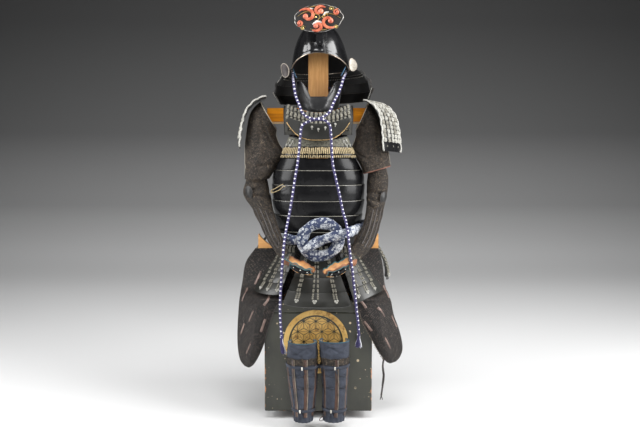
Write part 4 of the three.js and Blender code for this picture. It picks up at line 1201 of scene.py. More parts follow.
THROAT = [
    dict(wide=122, front=-105, end=-60, top=(1139, 1176), low=(1119, 1150)),
    dict(wide=124, front=-117, end=-88, top=(1121, 1152), low=(1095, 1124)),
    dict(wide=117, front=-130, end=-112, top=(1098, 1124), low=(1034, 1102)),
]


def throat_guard():
    random.seed(17)
    gold = metal("throat_edge", (0.52, 0.36, 0.17), 0.36, (0.20, 0.12, 0.06))
    for i, row in enumerate(THROAT):

        def place(u, v, out, row=row):
            side = 2 * u - 1
            bend = side * side
            x = side * (row["wide"] + 3 * v) + out * side * 0.6
            y = mix(row["front"], row["end"], bend) - out - 6 * v
            return Vector((x, y, mix(mix(*row["top"], bend), mix(*row["low"], bend * abs(side)), v)))

        shape = Shape()
        us = steps(64)
        span = row["top"][0] - row["low"][0]
        lame(shape, place, us, crown=0.5, span=span)
        if i < 2:
            for u in evenly(place, 16, 0.5, 0.01, 0.99):
                lean = random.uniform(-0.006, 0.006)
                wide = random.uniform(9.6, 11.4)
                lace(shape, place, (u, 0.02), (u + lean, 0.46), wide, 6.0, 1, bulge=2.8)
                lace(shape, place, (u, 0.62), (u - lean, 0.98), wide, 5.4, 1, lift=1.0, bulge=2.4)
        else:
            shape.tube([place(u, 0.985, 0.2) for u in us], 3.4, 3.6, 8, 2)
            for u, v in ((0.5, 0.33), (0.40, 0.22), (0.61, 0.26), (0.24, 0.16), (0.77, 0.16)):
                here, down, out = frame_at(place, u, v)
                shape.blob(here + out * 3.2, (4.6, 3.4, 5.0), 1, rings=7, sides=12)
                end = [here + down * low + out * high for low, high in ((2, 1), (6, 3), (10, 2))]
                shape.tube(end, 3.0, 2.4, 6, 1)
        skins = [DULL if i < 2 else SATIN, GREY_LACE if i < 2 else PALE_LACE, gold]
        shape.build(f"throat_{i + 1}_laced", skins, "black_lacquer", [f"throat_lame_{i + 1}"])


mask()
throat_guard()


# ---------------------------------------------------------------- cloth
def smooth_row(rows, name, v):
    """A column of a table with a row for each ring, read along a smooth curve through them."""
    place = clamp(v) * (len(rows) - 1)
    i = min(int(place), len(rows) - 2)
    t = place - i
    b, c = rows[i][name], rows[i + 1][name]
    a = rows[i - 1][name] if i else 2 * b - c
    d = rows[i + 2][name] if i + 2 < len(rows) else 2 * c - b
    return 0.5 * (2 * b + (c - a) * t + (2 * a - 5 * b + 4 * c - d) * t * t + (3 * (b - c) + d - a) * t**3)


def crease(rows, across, down, round_by=None):
    """Height in mm of the listed creases at a spot across and down the cloth, in mm."""
    height = 0.0
    for row in rows:
        a = across - row["across"]
        if round_by:
            a = (a + round_by / 2) % round_by - round_by / 2
        d = down - row["down"]
        turn = math.radians(row["turn"])
        along = a * math.cos(turn) + d * math.sin(turn)
        over = -a * math.sin(turn) + d * math.cos(turn)
        bent = over - row.get("bow", 0) * along * along / 1000
        height += row["deep"] * math.exp(-((bent / row["wide"]) ** 2)) * math.exp(-((along / row["long"]) ** 4))
    return height


def drift(x, y, z, size):
    """Soft uneven height, always the same at the same place, from -1 to 1."""
    return noise.noise(Vector((x / size, y / size, z / size)))


def strip(shape, place, line, wide, thick, skin, lift=1.0):
    """A flat strip lying on a surface along a line of (u, v)."""
    spots = [frame_at(place, u, v) for u, v in line]
    path, outs = [here + out * lift for here, _, out in spots], [out for _, _, out in spots]
    shape.tube(path, wide, thick, 8, skin, face=lambda p, share: outs[round(share * (len(line) - 1))])


# ---------------------------------------------------------------- armoured sleeves
SLEEVES = {
    "right_upper": dict(hand=-1, folds=5, deep_folds=0.06, round_by=330, long=250, rings=table(
        "in_x in_z out_x out_z y deep",
        (166, 1076, 230, 1188, 16, 56), (168, 1056, 266, 1144, 6, 56), (156, 1024, 282, 1078, -8, 52),
        (138, 986, 288, 1010, -26, 47), (163, 932, 288, 942, -32, 44), (192, 886, 289, 884, -34, 42),
    )),
    "left_upper": dict(hand=1, folds=5, deep_folds=0.06, round_by=330, long=220, rings=table(
        "in_x in_z out_x out_z y deep",
        (150, 1076, 200, 1186, 16, 56), (150, 1054, 232, 1142, 6, 56), (138, 1020, 258, 1074, -10, 54),
        (130, 990, 271, 1012, -30, 50), (161, 944, 277, 966, -50, 47), (175, 906, 281, 936, -60, 48),
    )),
    "right_lower": dict(hand=-1, folds=3, deep_folds=0.03, round_by=240, long=360, rings=table(
        "in_x in_z out_x out_z y deep",
        (206, 912, 280, 912, -34, 32), (202, 884, 284, 880, -34, 34), (190, 832, 294, 826, -38, 38),
        (181, 786, 262, 772, -56, 35), (165, 736, 228, 718, -98, 31), (148, 690, 202, 668, -134, 27),
        (130, 650, 172, 624, -160, 23), (113, 616, 148, 592, -180, 20),
    )),
    "left_lower": dict(hand=1, folds=3, deep_folds=0.03, round_by=220, long=380, rings=table(
        "in_x in_z out_x out_z y deep",
        (199, 944, 258, 956, -57, 32), (192, 888, 273, 888, -52, 36), (189, 836, 268, 828, -54, 35),
        (187, 786, 258, 776, -68, 33), (180, 736, 243, 724, -90, 31), (163, 690, 226, 674, -124, 29),
        (139, 652, 205, 630, -154, 27), (113, 620, 166, 592, -180, 24),
    )),
}
# Creases of each sleeve: where the middle of each lies, how it turns, and how long, wide and deep it is.
SLEEVE_CREASES = {
    "right_upper": table("across down turn long wide deep bow",
        (95, 70, 62, 55, 7, -3.5, 2), (62, 150, 105, 60, 8, -3.0, -2), (125, 120, 70, 50, 6, 2.6, 0),
        (40, 215, 20, 45, 7, -2.8, 4), (100, 200, -15, 40, 6, -2.5, -3), (240, 110, 80, 60, 8, -3.0, 0),
        (285, 180, 60, 45, 7, -2.4, 0), (200, 190, 10, 35, 6, 2.2, 0),
    ),
    "left_upper": table("across down turn long wide deep bow",
        (90, 60, 112, 50, 7, -3.4, -2), (60, 130, 80, 55, 8, -3.2, 0), (120, 150, 130, 45, 7, -2.6, 0),
        (75, 190, 15, 50, 6, 2.8, -3), (240, 100, 95, 60, 8, -3.0, 0), (290, 150, 60, 40, 7, 2.2, 0),
    ),
    "right_lower": table("across down turn long wide deep bow",
        (60, 62, 8, 42, 6, -3.2, 5), (48, 92, -12, 36, 5, -2.6, -5), (80, 118, 20, 38, 6, -2.8, 4),
        (95, 170, 40, 34, 6, -1.8, 0), (35, 205, 60, 40, 6, 1.8, 0), (160, 100, 0, 44, 7, -3.0, 4),
        (175, 240, 30, 40, 7, -2.0, 0), (70, 300, -20, 34, 6, -1.6, 0),
    ),
    "left_lower": table("across down turn long wide deep bow",
        (62, 110, -8, 40, 6, -3.0, 5), (42, 138, 14, 36, 5, -2.6, -4), (78, 168, -22, 36, 6, -2.6, 0),
        (50, 215, 80, 48, 6, -1.8, 0), (88, 255, 50, 36, 6, 1.6, 0), (150, 130, 0, 42, 7, -3.0, -4),
        (165, 280, 30, 38, 7, -1.8, 0), (60, 310, 24, 34, 6, -1.5, 0),
    ),
}


SLEEVE_SPLINTS = [(0.46, 0.86), (0.44, 0.88), (0.44, 0.88), (0.47, 0.85), (0.52, 0.82)]  # from v to v
ELBOWS = {"right_lower": (0.16, 0.27), "left_lower": (0.14, 0.33)}


def sleeve_place(name):
    """A point of a sleeve. u 0 is its outer side, 0.25 its front and 0.5 the side near the body."""
    row = SLEEVES[name]
    rings, creases = row["rings"], SLEEVE_CREASES[name]

    def place(u, v, out):
        in_x, in_z, out_x, out_z, y, deep = (smooth_row(rings, column, v) for column in rings[0])
        turn = 2 * math.pi * u
        side = Vector(((out_x - in_x) / 2, 0, (out_z - in_z) / 2))
        fold = 1 + row["deep_folds"] * v * math.cos(row["folds"] * turn + 0.9)
        height = crease(creases, (u % 1) * row["round_by"], v * row["long"], row["round_by"])
        height = 1.8 * height + 2.6 * drift(in_x + 40 * math.cos(turn), y + 40 * math.sin(turn), in_z, 42)
        out += height * smooth(v * 12) * smooth((1 - v) * 12)
        p = Vector(((in_x + out_x) / 2, y, (in_z + out_z) / 2))
        p += side * (math.cos(turn) * (1 + out / side.length))
        p.y -= math.sin(turn) * (deep * fold + out)
        return Vector((row["hand"] * p.x, p.y, p.z))

    return place


def sleeves():
    splint = lacquer("splint_iron", (0.014, 0.010, 0.008), 0.34, coat=0.05, gleam=0.3)
    lining = plain_cloth("sleeve_lining", (0.03, 0.024, 0.022), (0.055, 0.042, 0.036), 2)
    for name, row in SLEEVES.items():
        place = sleeve_place(name)
        upper = name.endswith("upper")
        shape = Shape()
        us, vs = steps(72)[:-1], steps(64)
        shape.sheet(place, us, vs, 2.4, 0, inner=1, edge=2, closed=True, scale=(row["round_by"], row["long"]))
        cloth = shape.build(f"sleeve_{name}_cloth", [MAIL, lining, PIPING], "mail", [f"sleeve_{name}"])

        trim = Shape()
        foot = (1.0, 1, 4.4) if name == "left_upper" else (1.0, 3, 3.0)
        for v, skin, wide in ((0.0, 0 if upper else 3, 3.6), foot):
            trim.tube([place(u, v, -1.1) for u in us], wide, skin=skin, closed=True)
        if upper:
            for u, low, high in ((0.53, 0.02, 0.66), (0.985, 0.06, 0.95)):
                trim.tube([place(u, v, 0.5) for v in steps(30, low, high)], 3.0, sides=6)
        else:
            for k, (low, high) in enumerate(SLEEVE_SPLINTS):
                strip(trim, place, [(0.06 + 0.078 * k, v) for v in steps(18, low, high)], 6.0, 2.6, 2)
            elbow(trim, place, *ELBOWS[name])
        trim.build(f"sleeve_{name}_splints", [PIPING, HEM, splint, MAIL, DULL], "mail")


def elbow(shape, place, u, v):
    """A domed oval plate over the point of the elbow, with a rolled rim."""
    here, down, out = frame_at(place, u, v)
    side = down.cross(out).normalized()
    rings = [(1.0, 0.8), (0.97, 2.6), (0.8, 3.4), (0.62, 5.2), (0.36, 6.9), (0.12, 7.6)]
    count, wide, tall = 28, 17, 24

    def spot(turn, size, high):
        return here + side * (wide * size * math.cos(turn)) + down * (tall * size * math.sin(turn)) + out * high

    points = [spot(turn, size, high) for size, high in rings for turn in circle(count)] + [here + out * 7.7]
    top = (len(rings) - 1) * count
    faces = loft(len(rings), count, ends=False)
    faces += [[top + k, top + (k + 1) % count, len(points) - 1] for k in range(count)]
    faces.append(list(range(count))[::-1])
    shape.put(points, [(0, 0)] * len(points), faces, 4)
    shape.tube([spot(turn, 1, 1.8) for turn in circle(count)], 3.0, sides=6, skin=2, closed=True)


sleeves()


# ---------------------------------------------------------------- hand guards
HAND_GUARDS = {
    "right": dict(hand=-1, wrist=(-122, -205, 594), tip=(-16, -252, 556), wide=34, cup=24),
    "left": dict(hand=1, wrist=(128, -207, 590), tip=(24, -256, 550), wide=36, cup=26),
}


def hand_guards():
    pale = leather("hand_lining", (0.62, 0.33, 0.11), (0.30, 0.13, 0.045), 0.5)
    brown = leather("hand_leather", (0.30, 0.12, 0.05), (0.085, 0.034, 0.018), 0.5)
    teal = plain_cloth("hand_piping", (0.02, 0.10, 0.12), (0.04, 0.16, 0.17), 1.0)
    for side, row in HAND_GUARDS.items():
        start, end = Vector(row["wrist"]), Vector(row["tip"])
        along = end - start
        across = along.cross(Vector((0, 0, 1))).normalized() * row["hand"]

        def place(u, v, out):
            turn = math.radians(mix(-100, 100, u))
            taper = math.sqrt(max(0.12, 1 - (max(0, v - 0.45) / 0.6) ** 2))
            edge = (2 * u - 1) ** 4
            frill = edge * (3.0 * math.sin(13 * v + 1) + 1.6 * math.sin(29 * v))
            wave = (1.2 * math.sin(7 * v + 2.2 * u) + frill) * smooth(v * 5)
            return (
                start + along * v + across * (math.sin(turn) * (row["wide"] * taper + out))
                + Vector((0, 0, -math.cos(turn) * (row["cup"] * taper + out) + wave))
            )

        shape = Shape()
        us, vs = steps(28), steps(30)
        shape.sheet(place, us, vs, 2.2, 1, inner=0, edge=1)
        for u in (0, 1):
            shape.tube([place(u, v, -1.1) for v in vs], 3.8, skin=3 if (u == 0) == (row["hand"] < 0) else 1)
        shape.tube([place(u, 1, -1.1) for u in us], 3.6, skin=1)
        shape.tube([place(u, 0, -1.1) for u in us], 3.0, skin=1)

        def plate(u, v, out):
            """The lacquered plate over the knuckles."""
            dome = 7.5 * max(0, math.sin(math.pi * u)) ** 0.6 * math.sin(math.pi * mix(0.1, 0.9, v))
            return place(mix(0.07, 0.40, u), mix(0.30, 0.97, v), out + dome + 2.4)

        us, vs = steps(24), steps(20)
        shape.sheet(plate, us, vs, 1.6, 2)
        border = [(u, 0) for u in us] + [(1, v) for v in vs[1:]] + [(u, 1) for u in us[-2::-1]]
        border += [(0, v) for v in vs[-2:0:-1]]
        shape.tube([plate(u, v, 0) for u, v in border], 2.6, sides=6, skin=3, closed=True)
        rim = [plate(1.06, v, 1.5 + 2 * math.sin(9 * v)) for v in steps(24)]
        shape.tube(rim, 8.5, 5.0, 8, 0, taper=lambda s: 0.5 + 0.5 * math.sin(math.pi * s))
        for u, v in ((0.25, 0.2), (0.75, 0.2), (0.2, 0.55), (0.8, 0.55), (0.35, 0.85), (0.65, 0.85)):
            shape.blob(plate(u, v, 0), (2.2, 2.2, 2.2), 4)
        skins = [pale, brown, BLACK, teal, SILVER]
        shape.build(f"hand_guard_{side}_shell", skins, "hand_leather", [f"hand_guard_{side}"])


hand_guards()


# ---------------------------------------------------------------- shoulder guards
GUARD_PROFILE = [(0, 0, 0), (40, 0, -17), (72, 0, -50), (88, 0, -96), (97, 0, -144), (102, 0, -196)]
GUARDS = {
    "right": dict(hand=-1, x=209, y=16, z=1201, turn=6, tilt=4),
    "left": dict(hand=1, x=210, y=8, z=1186, turn=36, tilt=4),
}
GUARD_REACH = 68  # half its width
GUARD_LAMES = 7


def guard_place(row):
    curve = Spline(GUARD_PROFILE)
    hand = row["hand"]
    turn = (
        Matrix.Rotation(-hand * math.radians(row["turn"]), 3, "Z")
        @ Matrix.Rotation(-math.radians(row["tilt"]), 3, "X")
    )

    def place(u, v, out):
        p, along = curve.at(v), curve.along(clamp(v, 0.005, 0.995))
        if v < 0 or v > 1:
            p = p + along * (curve.length * (v - clamp(v)))
        bow = 8 * (1 - (2 * u - 1) ** 2) * v
        p = p + Vector((-along.z, 0, along.x)) * (out + bow)
        y = (u - 0.5) * 2 * GUARD_REACH * mix(0.86, 1, v)
        return turn @ Vector((hand * p.x, y, p.z)) + Vector((hand * row["x"], row["y"], row["z"]))

    return place, curve.length


def shoulder_guards():
    white = braid("guard_piping", (0.66, 0.65, 0.60), (0.24, 0.23, 0.21), 3.0)
    grey = braid("guard_lace_dark", (0.30, 0.285, 0.24), (0.08, 0.075, 0.065))
    random.seed(41)
    for side, row in GUARDS.items():
        whole, length = guard_place(row)
        shape = Shape()
        us = steps(40)
        span = length / GUARD_LAMES
        for i in range(GUARD_LAMES):
            last = i == GUARD_LAMES - 1

            def place(u, v, out, i=i, last=last):
                narrow = 1 - 0.10 * max(0, (v - 0.55) / 0.45) ** 2 if last else 1
                return whole(0.5 + (u - 0.5) * narrow, (i + v) / GUARD_LAMES, out)

            skin = 4 if last else 0
            tucked = dict(stand=STAND, lap=0.06) if i else {}
            lame(shape, place, us, (skin, skin, 5), crown=0.7, span=span, **tucked)
            for end, push in ((0, Vector((0, -1, 0))), (1, Vector((0, 1, 0)))):
                swell = [(t, math.sin(math.pi * t)) for t in steps(8)]
                edge = [place(end, t, 1.5 + 3 * by) + push * (3.6 * by) for t, by in swell]
                shape.tube(edge, 6.4, skin=1)
            if last:
                shape.tube([place(u, 0.99, -0.4) for u in us], 3.2, skin=4)
                for u in (0.2, 0.5, 0.8):
                    here, down, out = frame_at(place, u, 0.42)
                    for k in (-1, 1):
                        turn = (down + down.cross(out) * k * 0.9).normalized() * 5
                        shape.tube([here - turn + out, here + out * 2.4, here + turn + out], 2.4, 2.0, 6, 3)
                continue
            for u in evenly(place, 5, 0.5, 0.02, 0.98):
                for low, high in ((0.06, 0.44), (0.58, 0.94)):
                    lean = random.uniform(-0.010, 0.010)
                    wide = random.uniform(17.0, 19.5)
                    skin = random.choice((2, 2, 3))
                    lace(shape, place, (u - lean, low), (u + lean, high), wide, 7.0, skin, lift=1.0, bulge=3.0)
        shape.tube([whole(u, 0.004, 0.5) for u in us], 5.5, skin=2)
        skins = [DULL, white, PALE_LACE, grey, BLACK, DULL]
        shape.build(f"shoulder_guard_{side}_laced", skins, "satin_lacquer", [f"shoulder_guard_{side}"])


shoulder_guards()


# ---------------------------------------------------------------- tassets
SKIRT = dict(top=611.4, wide=(154, 262), deep=(125, 236), square=0.7)
TASSETS = [
    dict(name="front", start=-23, end=21, hem=(421, 414), sag=8, columns=(0.22, 0.5, 0.76), lean=0.0),
    dict(name="front_right", start=-72, end=-26, hem=(456, 455), sag=2, columns=(0.24, 0.55, 0.86), lean=0.16),
    dict(name="front_left", start=23.5, end=70, hem=(420, 454), sag=-10, columns=(0.18, 0.46, 0.76), lean=-0.16),
    dict(name="rear_right", start=184, end=226, hem=(440, 452), sag=3, columns=(0.2, 0.5, 0.8), lean=0.0),
    dict(name="rear_left", start=134, end=176, hem=(452, 440), sag=3, columns=(0.2, 0.5, 0.8), lean=0.0),
]
LAMES = 4
LACE_GAP = 4.4  # from the middle of a column to each of its laces


def tasset_place(row):
    middle = (row["start"] + row["end"]) / 2

    def place(u, v, out):
        angle = middle + (u - 0.5) * (row["end"] - row["start"]) * mix(0.84, 1, v)
        low = mix(*row["hem"], u) - 4 * row["sag"] * u * (1 - u)
        z = mix(SKIRT["top"], low, v)
        wide, deep = mix(*SKIRT["wide"], v) + out, mix(*SKIRT["deep"], v) + out
        return Vector(ring(angle, wide, deep, z, mix(SQUARE, SKIRT["square"], v)))

    return place


def lacing_column(shape, place, u, top, low, gap, skin, knots):
    """Paired laces down one lame, in short pillowy lengths, with round knots below them if knots is a skin."""
    for k in (-1, 1):
        for j in range(3):
            start, end = mix(top, low, (j + 0.14) / 3), mix(top, low, (j + 0.76) / 3)
            lace(shape, place, (u + k * gap, start), (u + k * gap, end), 7.2, 4.4, skin, bulge=2.6)
    if knots:
        here, down, out = frame_at(place, u, low + 0.10)
        side = down.cross(out)
        for k in (-1, 1):
            shape.blob(here + side * (4.2 * k) + out * 2.8, (4.6, 4.2, 5.0), knots, rings=7, sides=12)
        shape.blob(here + down * 7 + out * 3.0, (5.6, 4.6, 5.6), knots, rings=7, sides=12)


def lamed_panel(name, place, span, columns, node, hang=None, lean=0.0):
    """Lames of satin lacquer with paired lacing, the last one plain at its foot."""
    shape = Shape()
    wide = (place(1, 0.6, 0) - place(0, 0.6, 0)).length
    us = steps(36)
    for i in range(LAMES):
        last = i == LAMES - 1

        def part(u, v, out, i=i, last=last):
            if last:
                corner = max(0, (v - 0.6) / 0.4) ** 2.5
                u = 0.5 + (u - 0.5) * (1 - 0.035 * corner)
                v = v - 0.10 * corner * abs(2 * u - 1) ** 8
            return place(u, (i + v) / LAMES, out)

        tucked = dict(stand=STAND, lap=0.05) if i else {}
        lame(shape, part, us, (0, 0, 1), crown=0.9, span=span / LAMES, **tucked)
        shape.tube([part(u, 0.985, -0.3) for u in us], 2.6, sides=6)
        top, low = (0.0, 0.42 if last else 1.0) if i else (0.35, 0.95)
        for u in columns:
            u += (lean + 0.16 * (0.5 - u)) * (i / (LAMES - 1) - 0.5)
            lacing_column(shape, part, u, top, low, LACE_GAP / wide, 2, 3 if last else 0)
    if hang:
        hang(shape)
    return shape.build(name, [SATIN, DULL, GREY_LACE, PALE_LACE], "satin_lacquer", [node])


def tassets():
    for row in TASSETS:
        place = tasset_place(row)

        def hang(shape, place=place, row=row):
            """The cords that carry the tasset from the cuirass's last bar."""
            for u in steps(5, 0.08, 0.92):
                low = place(u, 0.05, 3.0)
                angle = (row["start"] + row["end"]) / 2 + (u - 0.5) * (row["end"] - row["start"]) * 0.84
                high = Vector(torso(angle, 628, 1.2))
                outward = Vector((low.x, low.y, 0))
                middle = (low + high) / 2 + outward.normalized() * 3
                for k in (-1, 1):
                    side = Vector((-low.y, low.x, 0)).normalized() * (3.2 * k)
                    path = Spline([high + side, middle + side, low + side], fine=5).line
                    shape.tube(path, 4.6, 3.0, 8, 2, face=lambda p, s: outward)

        lamed_panel(f"tasset_{row['name']}_laced", place, SKIRT["top"] - row["hem"][0], row["columns"],
                    f"tasset_{row['name']}", hang, row["lean"])

    rows = table("z x y",
        (645, 216, 66), (600, 250, 72), (548, 278, 78), (505, 289, 82), (468, 291, 86),
    )
    for side, hand in (("right", -1), ("left", 1)):

        def place(u, v, out, hand=hand):
            z = mix(rows[0]["z"], rows[4]["z"], v)
            swing = math.radians(24 + 12 * v)
            across = (u - 0.5) * 2 * 46 * mix(0.72, 1, v)
            ridge = 10  # the panel is bent along its middle, with the bend rounded this far
            soft = abs(across) if abs(across) > ridge else (across * across / ridge + ridge) / 2
            x = read_soft(rows, "x", z, 12) - math.cos(swing) * 0.35 * soft + out
            return Vector((hand * x, read(rows, "y", z) + across, z))

        lamed_panel(f"tasset_side_{side}_laced", place, 177, (0.2, 0.5, 0.8), f"tasset_side_{side}")


tassets()


# ---------------------------------------------------------------- thigh guards
THIGH_GUARDS = {
    "right": table("z in_x in_y mid_x mid_y out_x out_y",
        (604, 60, 1, 156, 1, 250, 1), (548, 72, -52, 176, -30, 288, -10), (474, 108, -130, 203, -68, 301, -20),
        (447, 132, -158, 212, -112, 305, -34), (437, 139, -196, 214, -188, 306, -44),
        (424, 148, -197, 224, -194, 307, -56), (400, 164, -200, 238, -196, 310, -68),
        (330, 190, -201, 241, -205, 314, -84), (263, 209, -201, 247, -203, 316, -90),
        (214, 230, -199, 259, -192, 312, -104), (182, 250, -190, 269, -178, 302, -124),
        (168, 266, -174, 274, -167, 285, -150),
    ),
    "left": table("z in_x in_y mid_x mid_y out_x out_y",
        (604, 60, 1, 148, 1, 238, 1), (548, 72, -52, 164, -32, 254, -12), (474, 104, -130, 184, -76, 261, -32),
        (447, 122, -158, 198, -112, 267, -42), (437, 129, -196, 210, -189, 272, -52),
        (424, 137, -197, 218, -193, 277, -60), (400, 152, -200, 232, -194, 285, -70),
        (350, 170, -201, 236, -204, 295, -78), (300, 196, -201, 243, -205, 313, -86),
        (250, 222, -200, 256, -198, 326, -94), (215, 244, -194, 269, -186, 327, -104),
        (192, 262, -180, 281, -169, 315, -122), (182, 276, -166, 286, -157, 299, -142),
    ),
}
THIGH_THICK = 4.0
# The stitched splints that show on each thigh guard, by x and z of the middle, and their lean.
SPLINTS = {
    "right": table("x z lean",
        (-241, 492, 24), (-196, 434, 28), (-255, 371, 24), (-207, 338, 22), (-268, 243, 22), (-290, 430, 20),
        (-292, 310, 20),
    ),
    "left": table("x z lean",
        (212, 478, -26), (165, 424, -34), (237, 384, -34), (186, 332, -38), (262, 263, -26), (270, 440, -24),
        (296, 330, -24),
    ),
}
THIGH_CREASES = table("across down turn long wide deep bow",
    (60, 150, 65, 60, 8, -2.6, 2), (105, 210, 100, 70, 8, -2.2, -2), (40, 300, 75, 55, 7, 2.0, 0),
    (90, 340, 60, 45, 7, -2.0, 0), (120, 120, 30, 40, 7, -2.0, 0),
)
THIGH_WIDE = 150
THIGH_LONG = 520
THIGH_FOLD = 0.08  # how far the fold down its middle is rounded, as a share of its width
SPLINT_REACH = 24  # half the height of a splint


def thigh_place(side):
    hand = {"right": -1, "left": 1}[side]
    rows = THIGH_GUARDS[side]

    def middle(u, v):
        def bend(column):
            a, m, b = (smooth_row(rows, f"{place}_{column}", v) for place in ("in", "mid", "out"))
            curve = (1 - u) ** 2 * a + 2 * u * (1 - u) * (2 * m - (a + b) / 2) + u * u * b
            left, right = mix(a, m, 2 * u), mix(m, b, 2 * u - 1)
            fold = mix(left, right, smooth((u - 0.5 + THIGH_FOLD) / (2 * THIGH_FOLD)))
            return mix(fold, curve, 0.35)

        return Vector((hand * bend("x"), bend("y"), smooth_row(rows, "z", v)))

    def place(u, v, out):
        over = middle(min(1, u + 0.02), v) - middle(max(0, u - 0.02), v)
        down = middle(u, min(1, v + 0.01)) - middle(u, max(0, v - 0.01))
        normal = over.cross(down).normalized() * -hand
        height = crease(THIGH_CREASES, u * THIGH_WIDE, v * THIGH_LONG) if v > 0.4 else 0
        height += 1.0 * drift(u * THIGH_WIDE, v * THIGH_LONG, hand * 50, 40)
        height *= smooth(u * 9) * smooth((1 - u) * 9) * smooth((1 - v) * 10)
        return middle(u, v) + normal * (THIGH_THICK / 2 + out + height)

    return place


def nearest(place, x, z):
    """The u and v of the point of a surface nearest an x and z."""
    return min(
        ((u, v) for u in steps(40, 0.04, 0.96) for v in steps(90, 0.1, 0.98)),
        key=lambda s: (place(*s, 0).x - x) ** 2 + (place(*s, 0).z - z) ** 2,
    )


def thigh_guards():
    # the third colour is the painted highlight on the mail's raised rings
    black, brown, painted_ring_highlight = (0.0022, 0.0017, 0.0015), (0.0085, 0.0060, 0.0051), (0.090, 0.066, 0.052)
    mail = mail_cloth("thigh_mail", black, brown, painted_ring_highlight, 52, 1.5)
    dark = leather("thigh_border", (0.035, 0.027, 0.024), (0.016, 0.013, 0.012), 0.6)
    bar = leather("thigh_splint", (0.22, 0.145, 0.120), (0.08, 0.052, 0.044), 0.5)
    frayed = plain_cloth("frayed_edge", (0.26, 0.21, 0.15), (0.12, 0.09, 0.065), 1.6, 0.95)
    lining = plain_cloth("thigh_lining", (0.05, 0.035, 0.03), (0.08, 0.06, 0.05), 2)
    random.seed(23)
    for side in THIGH_GUARDS:
        place = thigh_place(side)
        shape = Shape()
        us, vs = steps(44), steps(120)
        shape.sheet(place, us, vs, THIGH_THICK, 0, inner=1, edge=2, scale=(THIGH_WIDE, THIGH_LONG))
        cloth = shape.build(f"thigh_guard_{side}_cloth", [mail, lining, dark], "thigh_cloth", [f"thigh_guard_{side}"])
        trim = Shape()
        for u in (0, 1):
            trim.tube([place(u, v, -2) for v in vs], 5.2)
        trim.tube([place(u, 1, -2) for u in us], 5.2)
        for row in SPLINTS[side]:
            u, v = nearest(place, row["x"], row["z"])
            here = place(u, v, 0)
            lean = math.radians(row["lean"])
            first, second = (
                nearest(place, here.x + t * math.sin(lean), here.z + t * math.cos(lean))
                for t in (-SPLINT_REACH, SPLINT_REACH)
            )
            strip(trim, place, [between(first, second, t) for t in steps(10)], 9.5, 3.0, 1, lift=0.9)
            for t in (0.08, 0.92):
                spot, _, out = frame_at(place, *between(first, second, t))
                trim.blob(spot + out * 2.4, (1.6, 1.2, 1.6))
        if side == "left":
            threads = 150
            for k in range(threads):
                v = mix(0.40, 0.88, (k + random.random()) / threads)
                start = place(0.0, v, -1.5)
                reach = random.uniform(3, 8)
                end = start + Vector((-reach * 0.8, -random.uniform(0, 2), random.uniform(-6, 2)))
                trim.tube([start, (start + end) / 2 + Vector((0, -1, 0.8)), end], 1.1, sides=4, skin=2)
        trim.build(f"thigh_guard_{side}_trim", [dark, bar, frayed], "thigh_cloth")

    tie = Shape()
    route = [(252, -184, 210), (247, -183, 176), (250, -190, 140), (246, -192, 100), (241, -194, 62)]
    out = Vector((0.2, -1, 0)).normalized()
    path = Spline(route, fine=10).line
    tie.tube(path, 8.6, 2.6, 10, 0, face=lambda p, s: out + Vector((0.5 * math.sin(9 * s), 0, 0)))
    for k in (-1, 1):
        tail = [path[-1] + Vector(p) for p in ((0, 0, 1), (k * 2.5, 0, -8), (k * 4.5, -1, -16))]
        tie.tube(tail, 3.2, 1.6, 6)
    tie.build("thigh_guard_tie_strap", [dark], "thigh_cloth", ["thigh_guard_tie"])


thigh_guards()


# ---------------------------------------------------------------- shin guards
SHINS = {
    "right": table("z x y wide deep",
        (283, -59, -236, 54, 46), (240, -60, -244, 57, 48), (200, -60, -253, 56, 48), (120, -57, -272, 50, 45),
        (60, -55, -287, 40, 41), (0, -55, -298, 36, 38),
    ),
    "left": table("z x y wide deep",
        (288, 60, -236, 57, 46), (240, 61, -244, 54, 47), (200, 62, -253, 50, 46), (120, 62, -271, 43, 44),
        (60, 60, -285, 42, 42), (0, 57, -294, 40, 40),
    ),
}
SHIN_REACH = 128  # degrees from the front to each edge
SHIN_SEAMS = (126, 168)  # heights of the seams between the puffs
SHIN_SPLINTS = {"right": [-100, -70, -35, 13, 62, 100], "left": [-100, -55, 8, 66, 100]}  # degrees from the front
KNEE_CREASES = table("across down turn long wide deep bow",
    (-34, 22, 24, 20, 4.5, 3.2, 8), (-6, 30, -32, 24, 5, -3.4, -6), (22, 20, 38, 20, 4.5, -3.0, 0),
    (36, 36, -14, 22, 5, 3.0, 6), (-22, 42, 6, 26, 5, -2.8, 5), (8, 14, -8, 22, 4, 2.6, -7),
    (-70, 30, 60, 26, 6, -2.6, 0), (74, 28, -50, 26, 6, -2.6, 0), (54, 12, 12, 16, 4, -2.2, 0),
    (-50, 10, -18, 18, 4, 2.0, 0),
)


